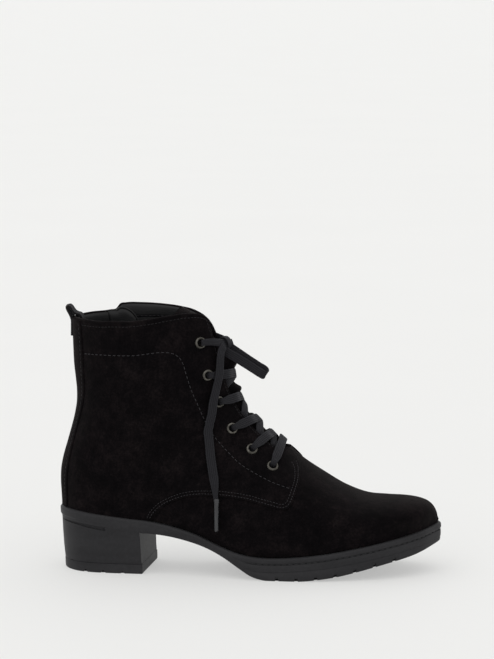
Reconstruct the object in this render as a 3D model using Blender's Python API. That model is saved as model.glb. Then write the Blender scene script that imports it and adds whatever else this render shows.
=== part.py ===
"""Lace-up ankle boot with a block heel, right foot, standing on its sole.

The boot is built over its last. A short table gives one section of the last per row, from the
toe tip over the instep and down to the heel, then up the shaft to the collar. The upper, tongue,
backstay, zip and laces are all taken from that one surface, and the sole units from one outline.
X runs from heel to toe, Y to the wearer's left, which is the inner side of a right foot, and Z up
from the floor. Tables are in millimetres from the back of the heel seat.
"""
import math

import bmesh
import bpy
import numpy as np
from mathutils import Matrix, Vector

MM = 0.001
GAP = 0.3                     # clearance between pieces that touch on the real boot

# Driving sizes
SOLE_LENGTH = 270.0
HEEL_BACK = -1.5              # rearmost point of the sole's rim
BALL_WIDTH = 94.0
HEEL_CENTRE = 30.0            # middle of the heel's tread, the origin
LAST_INSET = 4.3              # from the sole's edge in to the last's feather edge
WALL = 2.0                    # vamp: suede and lining
QUARTER_WALL = 3.0            # quarters: laid over the vamp's edge
MARGIN = 9.0                  # lasting margin turned under the last
OUTER, INNER = -1, 1          # side of the boot, the sign of Y


def table(columns, rows):
    """A short table: one named array for each column."""
    return dict(zip(columns.split(), np.array(rows, float).T))


# Sole outline seen from above: half widths as shares of the ball width
OUTLINE = table("x outer inner", [
    (-1.5, 0.000, 0.000),
    (5.0, 0.192, 0.192),
    (12.0, 0.262, 0.258),
    (24.0, 0.314, 0.304),
    (36.0, 0.332, 0.316),
    (50.0, 0.342, 0.312),
    (66.0, 0.350, 0.294),
    (80.0, 0.362, 0.276),
    (95.0, 0.384, 0.270),
    (110.0, 0.416, 0.290),
    (125.0, 0.452, 0.338),
    (140.0, 0.482, 0.402),
    (155.0, 0.498, 0.462),
    (170.0, 0.502, 0.498),
    (183.0, 0.494, 0.508),
    (197.0, 0.474, 0.500),
    (210.0, 0.446, 0.482),
    (224.0, 0.400, 0.452),
    (237.0, 0.340, 0.408),
    (248.0, 0.268, 0.356),
    (257.0, 0.180, 0.292),
    (264.0, 0.066, 0.206),
    (268.5, -0.053, 0.053),
])

# Side view of the sole: seat the upper stands on, depth of the midsole, underside of the outsole
SOLE = table("x seat mid under", [
    (-1.5, 44.9, 4.6, 34.9),
    (12.0, 44.1, 4.6, 34.1),
    (30.0, 42.1, 4.6, 32.1),
    (50.0, 39.9, 4.4, 29.9),
    (66.0, 38.2, 4.0, 29.2),
    (80.0, 35.3, 3.5, 27.5),
    (92.0, 32.0, 3.0, 24.9),
    (103.0, 28.1, 2.8, 21.6),
    (112.0, 24.0, 2.8, 17.7),
    (120.0, 20.9, 3.0, 13.2),
    (128.0, 18.4, 3.6, 8.0),
    (137.0, 16.8, 4.3, 2.6),
    (147.0, 16.2, 4.6, 0.0),
    (172.0, 17.5, 4.6, 0.0),
    (184.0, 18.7, 4.6, 1.1),
    (197.0, 20.5, 4.6, 3.0),
    (210.0, 22.8, 4.6, 5.8),
    (224.0, 25.3, 4.6, 9.2),
    (237.0, 27.9, 4.6, 12.2),
    (251.0, 30.8, 4.6, 15.5),
    (268.5, 34.6, 4.4, 21.2),
])

# The last, a row for each section. top is on the ridge line, low is where the section meets the
# feather edge, counted from the back of the last: positive along the seat, negative up the back.
# swell is the bulge past the seat's width, widest its place from top to low, crown its roundness.
LAST = table("top_x top_z ridge low swell_outer swell_inner widest crown", [
    (264.2, 36.3, 5.0, 261.4, 0.0, 0.0, 0.50, 2.0),
    (264.0, 40.4, 5.2, 259.8, 0.4, 0.4, 0.52, 2.1),
    (262.4, 44.4, 5.6, 256.0, 0.8, 0.8, 0.55, 2.2),
    (258.8, 47.7, 6.0, 250.0, 1.0, 1.0, 0.58, 2.3),
    (252.5, 49.8, 6.5, 242.0, 1.2, 1.2, 0.60, 2.4),
    (243.0, 50.9, 7.0, 232.5, 1.4, 1.2, 0.62, 2.4),
    (230.5, 51.2, 7.5, 222.0, 1.5, 1.3, 0.63, 2.3),
    (215.5, 53.0, 8.0, 209.5, 1.6, 1.4, 0.64, 2.2),
    (199.5, 59.6, 8.0, 196.0, 1.7, 1.5, 0.66, 2.0),
    (184.5, 69.0, 7.5, 183.0, 1.8, 1.6, 0.68, 1.9),
    (171.0, 77.8, 7.0, 170.0, 2.0, 1.6, 0.69, 1.8),
    (160.0, 85.4, 6.0, 157.0, 2.1, 1.8, 0.70, 1.7),
    (153.0, 91.6, 5.0, 140.0, 2.2, 2.5, 0.69, 1.62),
    (147.6, 97.2, 4.0, 121.0, 2.3, 4.0, 0.68, 1.6),
    (142.6, 102.2, 3.4, 101.0, 2.6, 5.5, 0.67, 1.62),
    (138.2, 106.6, 2.8, 79.0, 3.0, 5.8, 0.66, 1.7),
    (134.4, 110.6, 2.2, 57.0, 3.4, 5.0, 0.64, 1.8),
    (131.2, 114.2, 1.6, 36.0, 3.8, 4.6, 0.62, 1.88),
    (128.6, 117.8, 1.2, 18.0, 4.2, 4.8, 0.60, 1.95),
    (127.2, 120.2, 1.0, 7.0, 4.6, 5.2, 0.58, 2.0),
    (126.0, 122.6, 0.8, 0.0, 4.9, 5.4, 0.57, 2.0),
    (124.4, 126.4, 0.6, -10.0, 5.2, 5.8, 0.56, 2.0),
    (122.8, 131.0, 0.4, -24.0, 5.4, 6.2, 0.55, 2.0),
    (121.6, 136.6, 0.2, -40.0, 5.6, 6.6, 0.54, 2.0),
    (120.6, 143.0, 0.0, -57.0, 5.8, 7.0, 0.53, 2.0),
    (119.2, 150.4, 0.0, -75.0, 6.0, 7.2, 0.52, 2.0),
    (117.2, 158.4, 0.0, -93.0, 6.4, 7.6, 0.52, 2.0),
    (114.6, 166.6, 0.0, -110.0, 6.8, 8.0, 0.52, 2.0),
    (111.6, 175.0, 0.0, -126.0, 7.2, 8.4, 0.52, 2.0),
    (108.4, 184.0, 0.0, -142.0, 7.6, 8.8, 0.52, 2.0),
    (105.0, 193.0, 0.0, -158.0, 8.0, 9.2, 0.52, 2.0),
])
LAST_ROWS = np.arange(len(LAST["low"]), dtype=float)
SEAT_WIDEST = 32.0            # where the heel seat is taken as full width
HEEL_ROUND = 34.0             # how far the sections' aim cuts the corner of the heel
HEEL_BEND = 6                 # power with which their ends bend back into it
HEEL_FROM = 105.0             # sections that end behind this place turn into the heel's rounding
HEEL_DEEP = 46.0              # distance from the back line over which the heel widens
HEEL_FLARE = 18.0             # the same for its swell past the seat
SEAM_BLEND = 3.0              # arc over which the two sides' normals are blended

# Back line of the last, heel curve and Achilles' hollow
BACK = table("z x", [
    (46.0, 2.8),
    (54.0, 2.4),
    (64.0, 2.0),
    (71.0, 2.4),
    (79.0, 4.0),
    (88.0, 6.6),
    (97.0, 9.2),
    (109.0, 12.3),
    (119.0, 13.9),
    (127.0, 14.0),
    (136.0, 13.2),
    (145.0, 12.2),
    (158.0, 11.6),
    (170.0, 11.2),
    (182.0, 10.6),
    (206.0, 9.6),
])

# Collar line seen from the side, on the outer and on the inner side
COLLAR = table("x outer inner", [
    (0.0, 178.8, 178.8),
    (6.0, 178.9, 178.9),
    (12.0, 179.1, 179.1),
    (18.0, 179.2, 179.8),
    (31.0, 178.8, 182.6),
    (41.0, 179.2, 184.4),
    (52.0, 179.5, 184.2),
    (66.0, 181.3, 182.9),
    (80.0, 183.5, 180.8),
    (91.0, 184.4, 178.6),
    (97.0, 184.0, 176.8),
    (101.0, 182.4, 174.8),
    (103.5, 180.0, 172.6),
    (105.2, 177.0, 170.2),
    (106.4, 173.4, 167.4),
    (108.4, 166.0, 163.0),
])

# Lower edge of the quarters over the vamp, seen from the side
QUARTER_EDGE = table("x z", [
    (58.0, 32.0),
    (63.0, 44.4),
    (67.5, 51.6),
    (74.0, 56.9),
    (83.0, 60.2),
    (94.0, 61.4),
    (116.0, 60.5),
    (132.0, 57.8),
    (146.0, 54.0),
    (166.0, 49.0),
])
QUARTER_FRONT = 10.74         # section of the last along the quarters' front edge
QUARTER_MEETS_SOLE = 16.0     # section where their lower edge comes down to the sole

# Edge of the facings, by section of the last and arc from its ridge
THROAT_FOOT = 10.95
THROAT = table("row arc", [(10.95, 0.0), (11.1, 5.5), (11.4, 10.5), (12.0, 16.2), (12.6, 17.4),
                           (14.0, 15.8), (16.7, 13.2), (19.0, 13.7), (21.2, 14.5), (22.7, 15.6),
                           (24.0, 17.2), (25.7, 18.8), (27.2, 19.2), (30.0, 19.2)])

# Eyelets of each facing by section and arc from the ridge, top one first
EYELETS = table("row arc", [(26.82, 30.6), (24.41, 30.1), (21.29, 25.4),
                            (16.43, 26.5), (13.94, 30.1), (12.08, 35.0)])
EYELET_HOLE = 2.3
EYELET_BARREL = 2.8
EYELET_FLANGE = 4.2
LACE_WIDTH = 6.5
LACE_THICK = 1.2

# Laces come down through an eyelet's front, cross the tongue and dive under the other facing
# at these sections: columns for the strand from the outer and from the inner eyelet
CROSSINGS = table("eyelet to_inner to_outer", [(1, 23.0, 22.9), (2, 19.4, 16.7),
                                               (3, 14.3, 14.0), (4, 12.2, 12.3)])

# Tongue: how far it leans back off the last's ridge, and its half width along the arc
TONGUE = table("row back half", [(9.6, 0.0, 17.0), (11.0, 0.0, 22.0), (12.5, 0.0, 25.0),
                                 (15.0, 0.0, 23.0), (18.0, 0.0, 22.0), (21.0, 0.0, 22.5),
                                 (24.0, 0.0, 26.0), (26.0, 0.0, 27.0), (27.0, 1.6, 26.5),
                                 (28.0, 5.6, 25.5), (28.7, 11.0, 24.0), (29.4, 20.0, 22.0)])
TONGUE_FACE = -1.2
TONGUE_THICK = 2.4
TONGUE_TOP = 29.4
TONGUE_DROP = 0.7             # rows by which its top corners sit lower than its middle


def smooth(at, knots, values):
    """Cubic through the rows of a table, its slope at each row taken from the rows beside it."""
    slopes = np.gradient(values, knots)
    i = np.clip(np.searchsorted(knots, at, side="right") - 1, 0, len(knots) - 2)
    step = knots[i + 1] - knots[i]
    t = np.clip((at - knots[i]) / step, 0.0, 1.0)
    rise = (2 * t**3 - 3 * t**2 + 1) * values[i] + (3 * t**2 - 2 * t**3) * values[i + 1]
    return rise + step * ((t**3 - 2 * t**2 + t) * slopes[i] + (t**3 - t**2) * slopes[i + 1])


def turn_of(x):
    """Place along the outline from 0 at the heel to 1 at the toe, close set at both round ends."""
    share = np.clip((x - HEEL_BACK) / SOLE_LENGTH, 0.0, 1.0)
    return np.arccos(1 - 2 * share) / math.pi


def x_at(turn):
    return HEEL_BACK + SOLE_LENGTH * (1 - np.cos(math.pi * turn)) / 2


def outline(turns, inset):
    """Sole outline moved in by inset: the outer side from heel to toe, then the inner side back."""
    x = x_at(turns)
    outer = -BALL_WIDTH * smooth(turns, turn_of(OUTLINE["x"]), OUTLINE["outer"])
    inner = BALL_WIDTH * smooth(turns, turn_of(OUTLINE["x"]), OUTLINE["inner"])
    ring = np.column_stack([np.concatenate([x, x[-2:0:-1]]),
                            np.concatenate([outer, inner[-2:0:-1]])])
    along = np.roll(ring, -1, axis=0) - np.roll(ring, 1, axis=0)
    along /= np.linalg.norm(along, axis=1)[:, None]
    return ring + inset * np.column_stack([-along[:, 1], along[:, 0]])


FEATHER_TURNS = np.linspace(0.0, 1.0, 241)
FEATHER = outline(FEATHER_TURNS, LAST_INSET)
HEEL_POINT = FEATHER[0, 0]
FEATHER_SIDES = {OUTER: FEATHER[:241], INNER: np.vstack([FEATHER[:1], FEATHER[:239:-1]])}


def feather_y(x, side):
    """The last's feather edge on one side, as Y over X."""
    edge = FEATHER_SIDES[side]
    return np.interp(x, edge[:, 0], edge[:, 1])


def seat_z(x):
    return smooth(x, SOLE["x"], SOLE["seat"])


def last_base(x):
    """Underside of the last: the seat, a gap and the thickness of the lasting margin."""
    return seat_z(x) + GAP + WALL


def soft_over(value, reach):
    """Zero below nothing and the value above it, rounded over the reach."""
    return (value + np.hypot(value, reach)) / 2


def last_curves(row, side, steps=28):
    """Curves of the last's sections on one side, from the ridge down to the feather edge.

    Above the widest place each curve is a superellipse with the row's crown, below it a quarter
    of an ellipse that ends on the feather edge, or on the back line behind the heel point.
    Sections aim at a path that rounds the heel's corner and only their ends bend into it.
    Round the heel the half width comes from the seat's outline at the same distance from the back.
    """
    row = np.atleast_1d(row)
    v = {name: smooth(row, LAST_ROWS, LAST[name])[:, None] for name in LAST}
    on_seat = v["low"] > 0
    low_x = HEEL_POINT + np.maximum(v["low"], 0.0)
    back_z = last_base(HEEL_POINT) - v["low"]
    low_z = np.where(on_seat, last_base(low_x), back_z)
    low_y = np.where(on_seat, feather_y(low_x, side), 0.0)
    low_x = np.where(on_seat, low_x, smooth(back_z, BACK["z"], BACK["x"]))
    cut = (np.hypot(v["low"], HEEL_ROUND) - np.abs(v["low"])) / 2
    swell = side * (v["swell_outer"] if side == OUTER else v["swell_inner"])
    wide_x = HEEL_POINT + SEAT_WIDEST + soft_over(v["low"] - SEAT_WIDEST, HEEL_ROUND)
    wide_y = feather_y(wide_x, side) + swell
    angle = np.linspace(0.0, math.pi / 2, steps)[None, :]
    rounding = np.hstack([np.sin(angle) ** (2 / v["crown"]),
                          np.ones((len(row), steps - 1))])
    lower = np.hstack([np.zeros((len(row), steps)),
                       np.repeat(np.sin(angle[:, 1:]), len(row), axis=0)])
    upper_a = v["widest"] * (1 - np.cos(angle).clip(0.0) ** (2 / v["crown"]))
    lower_a = v["widest"] + (1 - v["widest"]) * np.sin(angle[:, 1:])
    a = np.hstack([upper_a, lower_a])
    bend = cut * (1 - a**HEEL_BEND)
    x = v["top_x"] + a * (low_x + bend - v["top_x"])
    z = v["top_z"] + a * (low_z + bend - v["top_z"])
    section_y = low_y + (wide_y - low_y) * np.sqrt(1 - lower**2)
    behind = np.maximum(x - smooth(z, BACK["z"], BACK["x"]), 0.0)
    round_x = (HEEL_POINT + behind + soft_over(-HEEL_DEEP, HEEL_DEEP / 4)
               - soft_over(behind - HEEL_DEEP, HEEL_DEEP / 4))
    heel_y = feather_y(round_x, side) + swell * (1 - np.exp(-behind / HEEL_FLARE)) * (1 - lower**2)
    t = np.clip((HEEL_FROM - v["low"]) / (HEEL_FROM - SEAT_WIDEST), 0, 1)
    full_y = section_y + t * t * (3 - 2 * t) * (heel_y - section_y)
    full_y += (low_y - full_y[:, -1:]) * a**(HEEL_BEND + 2)
    y = v["ridge"] + (full_y - v["ridge"]) * rounding
    tip = row[:, None] <= 0.0
    return np.stack([np.where(tip, low_x, x), y, np.where(tip, low_z, z)], axis=2)


def arc_lengths(curves):
    legs = np.linalg.norm(np.diff(curves, axis=1), axis=2)
    return np.hstack([np.zeros((len(curves), 1)), np.cumsum(legs, axis=1)])


def on_last(row, share, side):
    """Points of the last: share of each section's girth, 0 on the ridge, 1 at its lower end."""
    row, share = np.broadcast_arrays(np.asarray(row, float), np.asarray(share, float))
    curves = last_curves(row.ravel(), side)
    lengths = arc_lengths(curves)
    wanted = share.ravel() * lengths[:, -1]
    found = [[np.interp(w, s, c[:, k]) for k in range(3)] for w, s, c in zip(wanted, lengths, curves)]
    return np.array(found).reshape(row.shape + (3,))


def half_girth(row, side):
    return arc_lengths(last_curves(row, side))[:, -1]


def lifted(row, share, side, lift):
    """Points moved off the last along its outward normal, by finite steps along and around it."""
    row, share = np.broadcast_arrays(np.asarray(row, float), np.asarray(share, float))
    step_row, step_share = 0.05, 0.01
    last_row = LAST_ROWS[-1]
    around = (on_last(row, np.minimum(share + step_share, 1), side)
              - on_last(row, np.maximum(share - step_share, 0), side))
    along = (on_last(np.minimum(row + step_row, last_row), share, side)
             - on_last(np.maximum(row - step_row, 0), share, side))
    normal = side * np.cross(around, along)
    normal /= np.linalg.norm(normal, axis=-1, keepdims=True)
    return on_last(row, share, side) + lift * normal, normal


def spots(row, arc, lift=0.0, from_back=False):
    """Points and normals at a signed arc from the ridge, or from the back seam: outer negative.

    The two sides' normals are blended close to the line that they share.
    """
    row, arc = np.broadcast_arrays(np.asarray(row, float), np.asarray(arc, float))
    points = np.zeros(row.shape + (3,))
    normals = np.zeros(row.shape + (3,))
    for side in (OUTER, INNER):
        reach = np.maximum(arc * side, 0.0)
        share = np.clip(reach / half_girth(row.ravel(), side).reshape(row.shape), 0, 1)
        share = 1 - share if from_back else share
        found, normal = lifted(row, share, side, 0.0)
        weight = np.clip(0.5 + arc * side / (2 * SEAM_BLEND), 0, 1)
        own = arc * side >= 0
        points[own] = found[own]
        normals += weight[..., None] * normal
    normals /= np.linalg.norm(normals, axis=-1, keepdims=True)
    return points + np.asarray(lift)[..., None] * normals, normals


def throat_share(row, side):
    arc = np.where(row > THROAT_FOOT, smooth(row, THROAT["row"], THROAT["arc"]), 0.0)
    return arc / half_girth(row, side)


def quarter_share(row, side):
    """Share of the girth at which each section crosses the quarters' lower edge."""
    curves = last_curves(row, side)
    lengths = arc_lengths(curves)
    over = curves[:, :, 2] - smooth(curves[:, :, 0], QUARTER_EDGE["x"], QUARTER_EDGE["z"])
    first = np.maximum(np.argmax(over < 0, axis=1), 1)
    each = np.arange(len(first))
    part = over[each, first - 1] / (over[each, first - 1] - over[each, first])
    start, end = lengths[each, first - 1], lengths[each, first]
    return (start + np.clip(part, 0, 1) * (end - start)) / lengths[:, -1]


def pin(x, z, side):
    """Row and share of the last's point that is seen at x, z from the side."""
    rows = np.linspace(8, LAST_ROWS[-1], 221)
    curves = last_curves(rows, side)
    miss = np.hypot(curves[:, :, 0] - x, curves[:, :, 2] - z)
    i, k = np.unravel_index(np.argmin(miss), miss.shape)
    length = arc_lengths(curves[i:i + 1])[0]
    row, share = rows[i], length[k] / length[-1]
    for reach in (0.12, 0.04, 0.012, 0.004):
        near = reach * np.linspace(-1, 1, 7)
        grid_row, grid_share = np.meshgrid(row + near * 2.5, np.clip(share + near, 0, 1))
        spots = on_last(np.clip(grid_row, 0, LAST_ROWS[-1]), grid_share, side)
        best = np.argmin(np.hypot(spots[..., 0] - x, spots[..., 2] - z))
        row, share = grid_row.ravel()[best], grid_share.ravel()[best]
    return row, share


# Scene helpers

def clear_scene():
    for thing in list(bpy.data.objects):
        bpy.data.objects.remove(thing, do_unlink=True)


def new_collection(name):
    collection = bpy.data.collections.new(name)
    bpy.context.scene.collection.children.link(collection)
    return collection


def material(name, colour, roughness, metallic=0.0):
    made = bpy.data.materials.new(name)
    made.use_nodes = True
    shader = made.node_tree.nodes["Principled BSDF"]
    shader.inputs["Base Color"].default_value = (*colour, 1.0)
    shader.inputs["Roughness"].default_value = roughness
    shader.inputs["Metallic"].default_value = metallic
    return made


def to_part(points):
    """Table millimetres from the heel seat to metres from the middle of the heel's tread."""
    return (np.asarray(points, float) - (HEEL_CENTRE, 0.0, 0.0)) * MM


def add(name, mesh, finish, collection):
    thing = bpy.data.objects.new(name, mesh)
    collection.objects.link(thing)
    thing.data.materials.append(finish)
    return thing


def mesh_from(name, points, faces, weld=0.01):
    """Mesh of points in table millimetres, with points that fall together welded."""
    mesh = bpy.data.meshes.new(name)
    mesh.from_pydata(to_part(points).tolist(), [], faces)
    work = bmesh.new()
    work.from_mesh(mesh)
    bmesh.ops.remove_doubles(work, verts=work.verts, dist=weld * MM)
    bmesh.ops.dissolve_degenerate(work, edges=work.edges, dist=weld * MM)
    bmesh.ops.recalc_face_normals(work, faces=work.faces)
    work.to_mesh(mesh)
    work.free()
    return mesh


def grid_faces(rows, columns, start=0):
    """Faces of a grid of points, row after row."""
    faces = []
    for i in range(rows - 1):
        for j in range(columns - 1):
            a = start + i * columns + j
            faces.append((a, a + 1, a + columns + 1, a + columns))
    return faces


def soften(mesh, degrees=40):
    mesh.shade_smooth()
    mesh.set_sharp_from_angle(angle=math.radians(degrees))


# Sole units

LUG_PITCH = 13.6
LUG_FIRST = 153.8
LUG_COUNT = 7
LUG_GROOVE_WIDTH = 2.2
LUG_GROOVE_DEPTH = 2.4


def with_grooves(plain, centres, width):
    """Places along the sole with two more at each side of every groove."""
    lip = 0.25
    half = width / 2
    cuts = [c + d for c in centres for d in (-half - lip, -half, half, half + lip)]
    kept = [x for x in plain if all(abs(x - c) > half + 2.0 for c in centres)]
    return np.array(sorted(kept + cuts))


def groove_depth(x, centres, width, depth):
    inside = np.zeros_like(x)
    for centre in centres:
        inside = np.where(np.abs(x - centre) < width / 2 + 0.1, depth, inside)
    return inside


def slab(name, turns, levels, finish, collection):
    """Closed layer of the sole: rings of the outline at given insets and heights, top first.

    The top and the underside are ladders of faces across the sole, so both may rise and fall
    along it. Grooves are named by the place along the sole and not by the moved-in point.
    """
    count = 2 * len(turns) - 2
    place = np.concatenate([x_at(turns), x_at(turns)[-2:0:-1]])
    rings = []
    for inset, height in levels:
        flat = outline(turns, inset)
        rings.append(np.column_stack([flat, height(place)]))
    points = np.vstack(rings)
    faces = []
    for level in range(len(levels) - 1):
        for i in range(count):
            a = level * count + i
            b = level * count + (i + 1) % count
            faces.append((a, b, b + count, a + count))
    for base in (0, (len(levels) - 1) * count):
        for i in range(len(turns) - 1):
            left, left_next = base + i, base + i + 1
            right, right_next = base + (count - i) % count, base + count - i - 1
            faces.append((left, left_next, right_next, right))
    faces = [tuple(dict.fromkeys(face)) for face in faces]
    mesh = mesh_from(name, points, faces)
    soften(mesh, 35)
    return add(name, mesh, finish, collection)


def under_z(x):
    return np.maximum(smooth(x, SOLE["x"], SOLE["under"]), 0.0)


def mid_z(x):
    return seat_z(x) - smooth(x, SOLE["x"], SOLE["mid"])


LUGS = [LUG_FIRST + LUG_PITCH * i for i in range(LUG_COUNT)]
SOLE_TURNS = turn_of(with_grooves(x_at(np.linspace(0.0, 1.0, 29)), LUGS, LUG_GROOVE_WIDTH))


def build_midsole(finish, collection):
    """Upper layer with the rounded bead that the stitching runs under."""
    turns = SOLE_TURNS
    levels = [(0.9, lambda x: seat_z(x) - 0.2),
              (0.1, lambda x: seat_z(x) - 1.0),
              (0.0, lambda x: 0.4 * seat_z(x) + 0.6 * mid_z(x)),
              (0.8, mid_z)]
    return slab("midsole", turns, levels, finish, collection)


def build_outsole(finish, collection):
    """Tread layer: shank, forefoot with toe spring, side step and grooves between the lugs."""

    def top(x):
        return mid_z(x) - GAP

    def share(part):
        return lambda x: under_z(x) + part * (top(x) - under_z(x))

    def tread(x):
        return under_z(x) + groove_depth(x, LUGS, LUG_GROOVE_WIDTH, LUG_GROOVE_DEPTH)

    levels = [(1.1, top), (0.3, share(0.92)), (0.3, share(0.52)), (0.9, share(0.46)),
              (1.0, lambda x: np.maximum(share(0.20)(x), tread(x) + 0.1)), (1.6, tread)]
    return slab("outsole", SOLE_TURNS, levels, finish, collection)


def build_insole(finish, collection):
    turns = np.linspace(0.0, 1.0, 25)
    inset = LAST_INSET + 2.0
    under = 2 * GAP
    levels = [(inset + 0.6, lambda x: last_base(x) + under + 2.4),
              (inset, lambda x: last_base(x) + under + 1.8),
              (inset, lambda x: last_base(x) + under)]
    return slab("insole", turns, levels, finish, collection)


BREAST_OUTER = 58.2           # front edge of the heel on the outer side
BREAST_SLANT = 4.0            # how much further forward it is on the inner side
LIFT_TOP = 6.9


def heel_ring(inset, breast_in):
    """Outline of the heel: round the back, closed by the straight breast."""
    turns = np.linspace(0.0, turn_of(BREAST_OUTER + 6), 13)
    flat = outline(np.append(turns, 1.0), inset)
    outer, inner = flat[:13], flat[:-13:-1]
    outer_end = BREAST_OUTER - breast_in
    inner_end = outer_end + BREAST_SLANT
    outer_x = np.minimum(outer[:, 0], outer_end)
    inner_x = np.minimum(inner[:, 0], inner_end)
    outer_y = np.interp(outer_x, outer[:, 0], outer[:, 1])
    inner_y = np.interp(inner_x, np.append(outer[0, 0], inner[:, 0]), np.append(0.0, inner[:, 1]))
    outer_points = np.column_stack([outer_x, outer_y])[outer[:, 0] < outer_end + 3]
    inner_points = np.column_stack([inner_x, inner_y])[inner[:, 0] < inner_end + 3]
    return np.vstack([outer_points, inner_points[::-1]])


def heel_block(name, levels, finish, collection):
    """Closed block of heel rings, top first."""
    rings = []
    for inset, breast_in, height in levels:
        flat = heel_ring(inset, breast_in)
        z = height(flat[:, 0]) if callable(height) else np.full(len(flat), height)
        rings.append(np.column_stack([flat, z]))
    count = min(len(ring) for ring in rings)
    points = np.vstack([ring[:count] for ring in rings])
    faces = []
    for level in range(len(levels) - 1):
        for i in range(count):
            a = level * count + i
            b = level * count + (i + 1) % count
            faces.append((a, b, b + count, a + count))
    faces.append(tuple(range(count)))
    faces.append(tuple(range((len(levels) - 1) * count, len(levels) * count)))
    mesh = mesh_from(name, points, faces)
    soften(mesh, 35)
    return add(name, mesh, finish, collection)


def build_heel(finish, collection):
    levels = [(1.2, 0.4, lambda x: under_z(x) - GAP),
              (0.6, 0.0, lambda x: under_z(x) - GAP - 1.2),
              (1.6, -0.6, 16.0),
              (2.6, -1.2, LIFT_TOP + GAP)]
    return heel_block("heel", levels, finish, collection)


def build_heel_lift(finish, collection):
    levels = [(2.8, -1.2, LIFT_TOP),
              (2.3, -1.6, LIFT_TOP - 0.8),
              (2.6, -1.8, 1.0),
              (3.4, -1.2, 0.0)]
    return heel_block("heel_lift", levels, finish, collection)


# Upper and what is sewn to it

COLLAR_FROM = 24.0            # rows above this one are bent to end on the collar line
COLLAR_ROWS = 6


def collar_row(share, side):
    """Section row at which a line up the shaft reaches the collar line."""
    column = "outer" if side == OUTER else "inner"
    low = np.full(share.shape, COLLAR_FROM)
    high = np.full(share.shape, LAST_ROWS[-1])
    for _ in range(18):
        middle = (low + high) / 2
        start = throat_share(middle, side)
        spot = on_last(middle, start + (1 - start) * share, side)
        over = spot[:, 2] > smooth(spot[:, 0], COLLAR["x"], COLLAR[column])
        high = np.where(over, middle, high)
        low = np.where(over, low, middle)
    return low


OVER_COLUMNS = 8              # columns of the upper's grid above the quarters' edge
UNDER_COLUMNS = 6
EDGE_STEP = 0.25              # half the width of the step at the quarters' edge
HEEL_SECTION = 20.0           # section that ends on the heel point
TOE_MIDDLE = (248.0, 5.0, 38.0)  # middle of the toe's rounding


def upper_rows():
    toe = [0.0, 1, 2, 3, 4, 5, 6, 7, 8, 9, 10]
    throat = [QUARTER_FRONT, QUARTER_FRONT + 0.05, THROAT_FOOT, 11.1, 11.4]
    waist = [12, 12.6, 13.2, 13.8, 14.4, 15, 15.5, 16, 17]
    heel = [18, 18.6, 19.1, 19.5, HEEL_SECTION, 20.5, 21, 22, 23, COLLAR_FROM]
    shaft = COLLAR_FROM + 4.0 * np.arange(1, COLLAR_ROWS + 1) / COLLAR_ROWS
    return np.concatenate([toe, throat, waist, heel, shaft])


def upper_grid(side, rows, step):
    """Sections and shares of one side's grid, its two edge columns a step apart."""
    edge = quarter_share(rows, side)
    in_front = rows < QUARTER_FRONT + 0.03
    met_sole = rows >= QUARTER_MEETS_SOLE
    met = edge[np.argmax(met_sole) - 1]
    fade = np.clip((rows - QUARTER_MEETS_SOLE) / 8.0, 0, 1)
    edge = np.where(in_front, edge[np.argmin(in_front)], edge)
    edge = np.where(met_sole, met + (0.72 - met) * fade, edge)
    start = throat_share(rows, side)
    half_step = step / half_girth(rows, side) * ~met_sole
    edge = (edge - start) / (1 - start)
    over = np.linspace(0, 1, OVER_COLUMNS)[None, :] ** 1.15 * (edge - half_step)[:, None]
    under = 1 - (1 - np.linspace(0, 1, UNDER_COLUMNS)[None, :]) ** 1.35
    under = (edge + half_step)[:, None] + (1 - edge - half_step)[:, None] * under
    share = np.hstack([over, under])
    row = np.repeat(rows[:, None], share.shape[1], axis=1)
    top = collar_row(share[-1], side)
    rise = np.clip((rows - COLLAR_FROM) / (rows[-1] - COLLAR_FROM), 0, 1)[:, None]
    row = np.where(rise > 0, COLLAR_FROM + (top[None, :] - COLLAR_FROM) * rise, row)
    start = throat_share(row.ravel(), side).reshape(row.shape)
    return row, start + (1 - start) * share


def feather_way(points):
    """Outward level direction along a side's feather edge, straight out at toe and heel."""
    along = unit(np.gradient(points[:, :2], axis=0))
    way = np.column_stack([along[:, 1], -along[:, 0], np.zeros(len(along))])
    way *= np.sign((way * (points - (130.0, 0.0, 0.0))).sum(1, keepdims=True))
    way[0], way[-1] = (1, 0, 0), (-1, 0, 0)
    return way


def upper_sheets(side, rows):
    """Inner and outer points of one side's wall, its turned-in margin as the last two columns."""
    last_row = int(np.searchsorted(rows, HEEL_SECTION))
    wall = np.full((len(rows), OVER_COLUMNS + UNDER_COLUMNS), QUARTER_WALL)
    wall[rows < QUARTER_FRONT + 0.03] = WALL
    wall[rows < QUARTER_MEETS_SOLE, OVER_COLUMNS:] = WALL
    flat_rows = np.where(np.abs(rows - QUARTER_FRONT - 0.05) < 0.01, QUARTER_FRONT, rows)
    inside = on_last(*upper_grid(side, flat_rows, 0.0), side)
    row, share = upper_grid(side, rows, EDGE_STEP)
    foot_spot, normal = lifted(np.maximum(row, 0.1), share, side, 0.0)
    round_toe = foot_spot - TOE_MIDDLE
    round_toe[..., 2] = np.maximum(round_toe[..., 2], 0.0)
    toe = np.clip(2.5 - row, 0, 1)[..., None]
    normal = unit(unit(round_toe) * toe + normal * (1 - toe))
    outside = foot_spot + wall[..., None] * normal
    way = feather_way(inside[:last_row + 1, -1])
    foot = inside[:last_row + 1, -1]
    corner = foot + wall[:last_row + 1, -1:] * way
    corner[:, 2] = last_base(corner[:, 0]) - WALL
    outside[:last_row + 1, -1] = corner
    outside[0] = corner[0]
    tuck = foot - MARGIN * way
    tuck[:, 2] = last_base(tuck[:, 0])
    return inside, outside, tuck, normal, wall


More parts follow.
